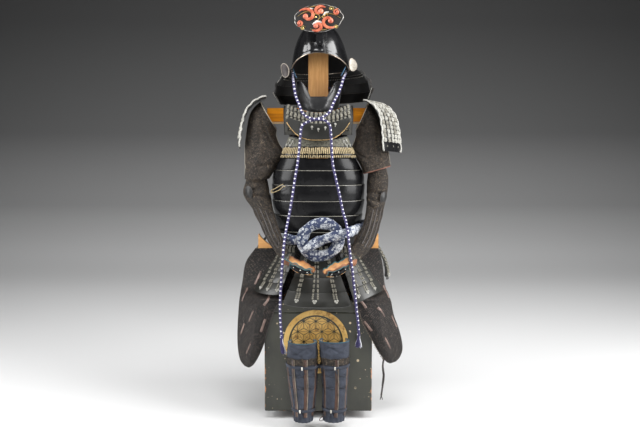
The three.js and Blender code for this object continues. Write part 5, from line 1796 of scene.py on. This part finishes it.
def shin_place(side):
    rings = SHINS[side]
    high = rings[0]["z"]
    flip = 1 if side == "right" else -1

    def place(u, v, out):
        z = high * (1 - v)
        middle_x, middle_y, wide, deep = (read_soft(rings, column, z, 16) for column in ("x", "y", "wide", "deep"))
        turn = mix(-SHIN_REACH, SHIN_REACH, u)
        across, down = math.radians(turn) * 52, high - z
        soft = smooth((66 - down) / 14)
        height = soft * (crease(KNEE_CREASES, across * flip, down) + 1.6 * smooth(down / 10))
        foot = smooth((34 - z) / 30)
        height += foot * (1.3 * math.cos(math.radians(turn) * 15 + 0.7) - 1.5 * smooth((10 - z) / 10))
        height += 1.2 * drift(across, down, 7 * flip, 20)
        near = min(abs(turn - k) for k in SHIN_SPLINTS[side])
        puffed = smooth((z - 46) / 14) * smooth((204 - z) / 8)
        for seam in SHIN_SEAMS:
            puffed *= 1 - 0.9 * math.exp(-(((z - seam + 3 * math.sin(turn / 9)) / 5) ** 2))
        height += 4.0 * smooth(near / 15) * puffed
        x, y, z = ring_round(turn, wide + out + height, deep + out + height, z, middle_y)
        return Vector((x + middle_x, y, max(z, 2.8)))

    return place, high


def shin_guards():
    cloth = plain_cloth(
        "shin_cloth", (0.011, 0.015, 0.027), (0.036, 0.044, 0.066), 1.6, 0.85, mottle=26, depth=0.0012
    )
    hem = plain_cloth("shin_hem", (0.014, 0.045, 0.066), (0.035, 0.088, 0.115), 1.2)
    lining = plain_cloth("shin_lining", (0.16, 0.13, 0.10), (0.24, 0.20, 0.15), 2)
    splint = leather("shin_splint", (0.080, 0.036, 0.022), (0.014, 0.009, 0.007), 0.32)
    # pale leather strips beside the front splints: a painted highlight for the light along their edges
    pale = leather("shin_edge_highlight", (0.26, 0.22, 0.17), (0.10, 0.08, 0.06), 0.5)
    strap = plain_cloth("shin_strap", (0.014, 0.018, 0.030), (0.036, 0.043, 0.062), 1.2)
    seam = plain_cloth("shin_seam", (0.004, 0.005, 0.008), (0.009, 0.010, 0.014), 1.2)
    keeper = leather("shin_keeper", (0.66, 0.64, 0.58), (0.36, 0.34, 0.29), 0.5)
    for side in SHINS:
        place, high = shin_place(side)
        shape = Shape()
        us, vs, around = steps(110), steps(96), steps(90, 0.02, 0.98)
        shape.sheet(place, us, vs, 2.6, 0, inner=1, edge=2, scale=(250, high))
        body = shape.build(f"shin_guard_{side}_cloth", [cloth, lining, hem], "shin_cloth", [f"shin_guard_{side}"])

        trim = Shape()
        trim.tube([place(u, 0, -1.3) for u in us], 4.6)
        for u in (0, 1):
            trim.tube([place(u, v, -1.3) for v in vs], 4.2, skin=5)
        # a belt of mail under the knee, with a scalloped edge, then splints down the shin
        belt_top, belt_low = (high - 232) / high, (high - 207) / high

        def belt(u, v, out):
            wave = 0.010 * abs(math.sin(math.radians(mix(-SHIN_REACH, SHIN_REACH, u)) * 5))
            return place(u, mix(belt_top + wave, belt_low, v), out + 1.4)

        trim.sheet(belt, steps(110, 0.14, 0.86), steps(8), 1.2, 4, scale=(250, 25))
        trim.tube([belt(u, 0, 0.2) for u in steps(110, 0.14, 0.86)], 2.2, sides=6, skin=4)
        for k, turn in enumerate(SHIN_SPLINTS[side]):
            u = (turn + SHIN_REACH) / (2 * SHIN_REACH)
            middle = abs(turn) < 50
            top, low = (high - (228 if middle else 205)) / high, (high - 24) / high
            line = [(u + 0.004 * math.sin(9 * v + k), v) for v in steps(26, top, low)]
            strip(trim, place, line, 13.5, 4.4, 1, lift=1.6)
            # painted highlight: a thin pale strip along one edge of each front splint, for the light along that edge
            if middle:
                strip(trim, place, [(a + 0.028, b) for a, b in line], 2.2, 3.0, 2, lift=2.6)
        for z in SHIN_SEAMS:
            waves = [(u, 3 * math.sin(math.radians(mix(-SHIN_REACH, SHIN_REACH, u)) * 57.3 / 9)) for u in around]
            trim.tube([place(u, (high - z - wave) / high, 0.6) for u, wave in waves], 2.0, sides=6, skin=7)
        for z, tilt in ((199, 6 if side == "right" else -4), (46, 3)):
            line = [(u, (high - z + tilt * (u - 0.5) * 2) / high) for u in steps(60, 0.0, 1.0)]
            strip(trim, place, line, 11, 2.8, 3, lift=4.2)
            middle = 0.5 if z > 100 else 0.44
            spot, down, out = frame_at(place, middle, (high - z) / high)
            across = down.cross(out)
            trim.slab([(-2.8, -6), (2.8, -6), (2.8, 6), (-2.8, 6)], 0, 4.2,
                      lambda x, y, h: spot + across * x + down * y + out * (4.6 + h), 6, round_by=1.2)
            for k in (-1, 1):
                tail = [
                    spot + out * 6 + down * 3, spot + out * 8 + down * 12 + across * 5 * k,
                    spot + out * 6 + down * 22 + across * 8 * k,
                ]
                trim.tube(Spline(tail, fine=4).line, 4.5, 1.8, 6, 3, face=lambda p, s: out)
        if side == "left":
            foot = place(0.24, 0.93, 2)
            loop = ((0, 0, 0), (-9, -3, -3), (-15, -4, -12), (-12, -4, -16), (-5, -3, -15), (-1, -1, -8))
            trim.tube(Spline([foot + Vector(p) for p in loop], fine=6).line, 3.6, 2.4, 8, 1)
        trim.build(f"shin_guard_{side}_splints", [hem, splint, pale, strap, MAIL, cloth, keeper, seam], "shin_cloth")


shin_guards()


# ---------------------------------------------------------------- sash
SASH = dict(z=680, slope=18, wide=42, deep=27)


def twisted(shape, path, wide, deep, face, turns, closed=False, seed=0.0):
    """A rolled cloth: an oval rope with the roll's own ridges winding round it."""
    sides = 30
    last = len(path) - 1
    points, places, run = [], [], 0.0
    for i, middle in enumerate(path):
        if closed:
            along = (path[(i + 1) % len(path)] - path[i - 1]).normalized()
        else:
            along = (path[min(i + 1, last)] - path[max(i - 1, 0)]).normalized()
        side = along.cross(Vector(face(middle))).normalized()
        out = side.cross(along)
        share = i / (len(path) if closed else last)
        run += (middle - path[i - 1]).length if i else 0
        for k, turn in enumerate(circle(sides)):
            wind = turn * 2 + turns * 2 * math.pi * share + seed
            lift = 1 + 0.075 * math.cos(wind) + 0.035 * math.cos(2 * wind + 1.1)
            lift += 0.05 * drift(middle.x + 20 * math.cos(turn), middle.y, middle.z + 20 * math.sin(turn), 17)
            if not closed:
                lift *= 0.35 + 0.65 * smooth(share * 30) * smooth((1 - share) * 24)
            points.append(oval(middle, side, out, turn, wide, deep, lift))
            places.append((k / sides, run))
    shape.put(points, places, loft(len(path), sides, closed), 0, seam=1)


def sash():
    print_ = printed_cloth()
    band = [Vector((-46, -152, 654)), Vector((-92, -142, 655))]
    for step_ in range(10):
        angle = -56 - 25.6 * step_
        front = max(0, math.cos(math.radians(angle)))
        z = SASH["z"] + SASH["slope"] * math.sin(math.radians(angle)) - 10 * front
        gap = SASH["deep"] / 2 + 3.4
        band.append(Vector(ring(angle, read(TORSO, "wide", z) + gap, read(TORSO, "deep", z) + gap, z)))
    band += [Vector(p) for p in ((137, -142, 692), (128, -176, 692), (96, -205, 686), (58, -206, 676),
                                 (24, -193, 664), (-10, -193, 650), (-36, -206, 636), (-64, -210, 618))]
    spline = Spline(band)
    shape = Shape()
    count = round(spline.length / 4)
    twisted(shape, [spline.at(t) for t in steps(count)], 38, 25, lambda p: (p.x, p.y, 0), turns=16)
    rolled = shape.build("sash_band_rolled", [print_], "sash_cloth", ["sash_band"])

    points = []
    for u in steps(12)[:-1]:
        turn = 2 * math.pi * u
        points.append((9 + 70 * math.cos(turn), -179, 661 + 62 * math.sin(turn) + 6 * math.cos(turn)))
    spline = Spline(points, closed=True)
    shape = Shape()
    count = round(spline.length / 4)
    path = [spline.at(t) for t in steps(count)[:-1]]
    twisted(shape, path, SASH["wide"], SASH["deep"], lambda p: (0, -1, 0), turns=4, closed=True, seed=1.0)
    rolled = shape.build("sash_loop_rolled", [print_], "sash_cloth", ["sash_loop"])


sash()


# ---------------------------------------------------------------- shoulder straps
def shoulder_straps():
    grey = leather("strap_leather", (0.060, 0.058, 0.048), (0.022, 0.021, 0.018), 0.65)
    route = Spline([
        (0, -88, 1056), (0, -76, 1104), (0, -46, 1146), (0, -8, 1168), (0, 40, 1167), (0, 66, 1132), (0, 72, 1087),
    ])
    for side, hand in (("right", -1), ("left", 1)):

        def place(u, v, out):
            point, along = route.at(v), route.along(clamp(v, 0.005, 0.995))
            x = hand * (110 + (u - 0.5) * 48 * mix(0.8, 1, math.sin(math.pi * v)))
            return point + Vector((0, -along.z, along.y)) * out + Vector((x, 0, 0))

        shape = Shape()
        us, vs = steps(14), steps(60)
        shape.sheet(place, us, vs, 4.2, 0, inner=1)
        for u in (0, 1):
            shape.tube([place(u, v, -1.2) for v in vs], 4.6, skin=2)
        for v in (0.07, 0.93):
            for k in (-1, 1):
                here = place(0.5 + 0.16 * k, v, 0.5)
                out = (here - place(0.5 + 0.16 * k, v, -3)).normalized()
                shape.blob(here + out * 2.2, (3.4, 3.4, 5.2), 2, rings=7, sides=12)
            shape.tube([place(u, v, 1.2) for u in steps(8, 0.25, 0.75)], 3.0, sides=6, skin=3)
        skins = [grey, DULL, DULL, CREAM_LACE]
        shape.build(f"shoulder_strap_{side}_leather", skins, "grey_leather", [f"shoulder_strap_{side}"])


shoulder_straps()


# ---------------------------------------------------------------- stand and chest
def rounded(wide, deep, corner, count=6, middle=(0, 0)):
    points = []
    for cx, cy, start in ((1, 1, 0), (-1, 1, 90), (-1, -1, 180), (1, -1, 270)):
        for t in steps(count):
            turn = math.radians(start + 90 * t)
            points.append((
                middle[0] + cx * (wide / 2 - corner) + corner * math.cos(turn),
                middle[1] + cy * (deep / 2 - corner) + corner * math.sin(turn),
            ))
    return points


def stand():
    post_wood = wood("post_wood", (0.70, 0.39, 0.145), (0.46, 0.21, 0.065), 0.5, 0.1)
    board_wood = wood("board_wood", (0.88, 0.48, 0.175), (0.62, 0.29, 0.09), 0.5, 0.1, "X")
    amber = wood("amber_wood", (0.95, 0.36, 0.010), (0.42, 0.115, 0.004), 0.28, 0.4, "X", 1.6)
    pale = wood("pale_strip", (0.70, 0.50, 0.28), (0.52, 0.34, 0.17), 0.5, 0.1, "X")
    upright = lambda x, y, h: (x, y, h)
    base_low, base_thick = 430.4, 18
    shape = Shape()
    shape.slab(rounded(300, 220, 8), base_low, base_low + base_thick, upright, 0, round_by=2.5)
    shape.build("stand_base_board", [post_wood], "post_wood", ["stand_base"])

    shape = Shape()
    shape.slab(rounded(78, 24, 2.2, middle=(0, -8)), base_low + base_thick + 0.4, 1470, upright, 0, round_by=1.2)
    shape.build("stand_post_board", [post_wood], "post_wood", ["stand_post"])

    forward = lambda x, y, h: (x, h, y)
    shape = Shape()
    shape.slab([(x, y + 1135) for x, y in rounded(406, 54, 3)], 4.4, 28.4, forward, 0, round_by=1.5)
    shape.slab([(x, y + 1103.6) for x, y in rounded(402, 7.0, 2)], 5.4, 27.4, forward, 1, round_by=1.0)
    shape.build("stand_shoulder_bar_amber", [amber, pale], "amber_lacquer", ["stand_shoulder_bar"])

    flat, reach, rest, horn_low, horn_top = 158, 241, 606, 597, 662
    horn = [(reach - 2, horn_low - 1), (reach, horn_low + 3), (reach, horn_top - 3), (reach - 3, horn_top)]
    outline = [(-flat, 560), (flat, 560), *horn]
    for t in steps(12)[1:]:
        a, b, c = (reach, horn_top), (flat + 40, rest), (flat, rest)
        outline.append(tuple((1 - t) ** 2 * p + 2 * t * (1 - t) * q + t * t * r for p, q, r in zip(a, b, c)))
    outline += [(-x, z) for x, z in outline[:1:-1]]
    shape = Shape()
    shape.slab(outline, 4.4, 28.4, forward, 0)
    shape.build("stand_hip_board_cut", [board_wood], "board_wood", ["stand_hip_board"])


CHEST = dict(wide=410, deep=380, tall=430, board=12, lid=46)
GILT_MIDDLE = (-9, 270)
GILT_REACH = 123


def chest_lacquer():
    """Olive-black lacquer, chipped to orange-brown wood at its edges and speckled with pale dust."""
    look = Look("chest_lacquer", (0.030, 0.031, 0.022), 0.42, Coat_Weight=0.2, Coat_Roughness=0.25)
    where = look.spot()
    cloud = look.grain(5, detail=6, rough=0.6)
    smear = look.grain(1.0, look.spot((9, 9, 2.2)), detail=6, rough=0.65)
    base = look.fade(cloud, 0.32, 0.7, (0.013, 0.0135, 0.0095), (0.036, 0.037, 0.026))
    base = look.blend(look.ramp(smear, (0.45, 0.0), (0.75, 0.45)), base, (0.055, 0.055, 0.040))
    x, y, z = (look.math("ABSOLUTE", look.part(where, k)) for k in ("X", "Y", "Z"))
    edge_x = look.math("SUBTRACT", CHEST["wide"] / 2 * MM, x)
    edge_y = look.math("SUBTRACT", CHEST["deep"] / 2 * MM, y)
    corner = look.math("MAXIMUM", edge_x, edge_y)
    edge = look.math("MINIMUM", corner, look.plus(z, 0.004))
    chipping = look.grain(46, detail=7, rough=0.7)
    patch = look.grain(8, detail=3)
    near = look.math("SUBTRACT", 1.0, look.math("DIVIDE", edge, 0.011))
    low = look.times(look.math("SUBTRACT", 0.20, z), 0.16)
    amount = look.plus(look.times(look.math("MAXIMUM", near, -1.0), 0.15), look.times(patch, 0.24))
    amount = look.plus(amount, low)
    chipped = look.plus(amount, look.times(chipping, 0.62))
    mask = look.ramp(chipped, (0.600, 0.0), (0.625, 1.0))
    bare = look.blend(look.grain(120, detail=4), (0.19, 0.070, 0.028), (0.46, 0.22, 0.10))
    colour = look.blend(mask, base, bare)
    specks = look.ramp(look.cells(19), (0.08, 1.0), (0.11, 0.0))
    small = look.ramp(look.cells(48), (0.08, 0.8), (0.12, 0.0))
    some = look.ramp(look.grain(21), (0.46, 0.0), (0.54, 1.0))
    dots = look.times(look.math("MAXIMUM", specks, small), some)
    look.colour(look.blend(dots, colour, (0.50, 0.40, 0.26)))
    look.roughness(look.ramp(chipped, (0.5, 0.36), (0.62, 0.8)))
    look.bump(look.math("SUBTRACT", look.times(cloud, 0.4), mask), 0.0009, 0.5)
    return look.material


def gilded():
    """Old gold leaf on lacquer, rubbed brown in places."""
    look = Look("chest_gilt", (0.62, 0.40, 0.13), 0.42, 0.45)
    rubbed = look.grain(34, detail=7, rough=0.7)
    tone = look.grain(9, detail=3)
    leaf = look.fade(tone, 0.35, 0.65, (0.52, 0.31, 0.085), (0.74, 0.50, 0.18))
    look.colour(look.blend(look.ramp(rubbed, (0.52, 0.0), (0.66, 0.9)), leaf, (0.20, 0.10, 0.035)))
    look.roughness(look.ramp(rubbed, (0.4, 0.36), (0.65, 0.7)))
    look.bump(rubbed, 0.0003, 0.4)
    return look.material


def chest():
    c = CHEST
    lacquered = chest_lacquer()
    board = c["board"]
    body_tall = c["tall"] - c["lid"] - 0.4

    def box(low, high, name, node, floor):
        """Four boards round, and a board across them that starts at the height floor."""
        outline = rounded(c["wide"], c["deep"], 4, 5)
        dense = []
        for a, b in zip(outline, outline[1:] + outline[:1]):
            pieces = 24 if math.dist(a, b) > 60 else 1
            dense += [between(a, b, k / pieces) for k in range(pieces)]

        def place(u, v, out):
            x, y = dense[round(u * len(dense)) % len(dense)]
            z = mix(high, low, v)
            if out == 0:
                near = min(v, 1 - v) * (high - low)
                out = out - 1.6 * (1 - smooth(near / 2.5)) + 0.35 * drift(x, y, z, 60)
            wide, deep = c["wide"] / 2, c["deep"] / 2
            return (x * ((wide + out) / wide), y * ((deep + out) / deep), z)

        shape = Shape()
        us = [i / len(dense) for i in range(len(dense))]
        *vs, first = (rise / (high - low) for rise in (0, 0.6, 1.5, 3, 6))
        vs = vs + steps(10, first, 1 - first) + [1 - v for v in reversed(vs)]
        shape.sheet(place, us, vs, board, 0, closed=True)
        inner = rounded(c["wide"] - 2 * board - 0.4, c["deep"] - 2 * board - 0.4, 1.5)
        shape.slab(inner, floor, floor + board - 0.15, lambda x, y, h: (x, y, h))
        shape.build(name, [lacquered], "chest_lacquer", [node])

    box(0, body_tall, "chest_body_boards", "chest_body", 0.15)
    box(c["tall"] - c["lid"], c["tall"], "chest_lid_boards", "chest_lid", c["tall"] - board)

    shape = Shape()
    front = -c["deep"] / 2

    def on_front(x, y, h):
        return (GILT_MIDDLE[0] + x, front - h, GILT_MIDDLE[1] + y)

    count, inner = 96, GILT_REACH * 0.84
    points = [
        on_front(reach * math.cos(turn), reach * math.sin(turn), h)
        for reach, h in ((GILT_REACH, -0.2), (GILT_REACH, 0.7), (inner, 0.7), (inner, -0.2)) for turn in circle(count)
    ]
    shape.put(points, [(0, 0)] * len(points), loft(4, count, closed=True))

    # a field of hemp leaves, cut off by the ring: each triangle of the lattice holds three slim leaves
    size, field = 46.0, GILT_REACH * 0.79
    corner = lambda i, j: (size * (i + j / 2), size * j * math.sqrt(3) / 2)
    middle_of = lambda points: tuple(sum(p[k] for p in points) / 3 for k in (0, 1))
    cut_off = lambda x, y: (x * min(1, field / math.hypot(x, y)), y * min(1, field / math.hypot(x, y)))
    for i in range(-5, 6):
        for j in range(-5, 6):
            for tri in ((corner(i, j), corner(i + 1, j), corner(i, j + 1)),
                        (corner(i + 1, j), corner(i + 1, j + 1), corner(i, j + 1))):
                for a, b in zip(tri, tri[1:] + tri[:1]):
                    leaf = [a, b, middle_of(tri)]
                    centre = middle_of(leaf)
                    cut = [cut_off(*between(p, centre, 0.16)) for p in leaf]
                    (ax, ay), (bx, by), (qx, qy) = cut
                    if abs((bx - ax) * (qy - ay) - (qx - ax) * (by - ay)) > 60:
                        shape.slab(cut, -0.2, 0.7, on_front)
    shape.build("chest_gilt_pattern", [gilded()], "chest_lacquer")


stand()
chest()


# ---------------------------------------------------------------- floor and light
def add_studio():
    profile = [(-6.0, 0.0), (2.2, 0.0), (3.5, 0.12), (4.2, 0.5), (4.5, 1.2), (4.55, 6.0)]
    line = Spline([(0, y, z) for y, z in profile], fine=10).line
    mesh = bpy.data.meshes.new("floor")
    verts = [(x, p.y, p.z) for p in line for x in (-9, 9)]
    faces = [(i, i + 1, i + 3, i + 2) for i in range(0, 2 * len(line) - 2, 2)]
    mesh.from_pydata(verts, [], faces)
    look = Look("backdrop_painted_shade", (0.55, 0.55, 0.55), 0.85)
    height = look.part(look.spot(), "Z")
    # painted shade: the backdrop is pale grey at the floor and darkens to near black higher up
    painted_shade_by_height = ((0.0, 0.66), (0.04, 0.56), (0.15, 0.27), (0.37, 0.105), (0.72, 0.045), (1.0, 0.03))
    look.colour(look.ramp(look.math("DIVIDE", height, 3.0), *painted_shade_by_height))
    mesh.materials.append(look.material)
    mesh.shade_smooth()
    floor = bpy.data.objects.new("floor", mesh)
    bpy.context.collection.objects.link(floor)
    floor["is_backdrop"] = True

    def lamp(name, place, aim, size, power):
        data = bpy.data.lights.new(name, "AREA")
        data.shape = "RECTANGLE"
        data.size, data.size_y = size
        data.energy = power
        light = bpy.data.objects.new(name, data)
        light.location = place
        light.rotation_euler = (Vector(aim) - Vector(place)).to_track_quat("-Z", "Y").to_euler()
        bpy.context.collection.objects.link(light)

    lamp("key_left", (-2.6, -1.1, 1.7), (0, 0, 1.0), (1.7, 2.8), 135)
    lamp("key_right", (2.4, -1.0, 1.9), (0, 0, 1.0), (1.8, 3.0), 190)
    lamp("overhead", (0, -1.9, 4.2), (0, 0, 0.8), (2.4, 1.2), 105)
    world = bpy.data.worlds.new("studio")
    world.use_nodes = True
    world.node_tree.nodes["Background"].inputs["Color"].default_value = (0.62, 0.64, 0.66, 1)
    world.node_tree.nodes["Background"].inputs["Strength"].default_value = 0.10
    bpy.context.scene.world = world
    bpy.context.scene.view_settings.view_transform = "Standard"


add_studio()

boxes = {"cad": CAD_BOX, "visual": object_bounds()}
{k: [[float(c) for c in corner] for corner in b] for k, b in boxes.items()}
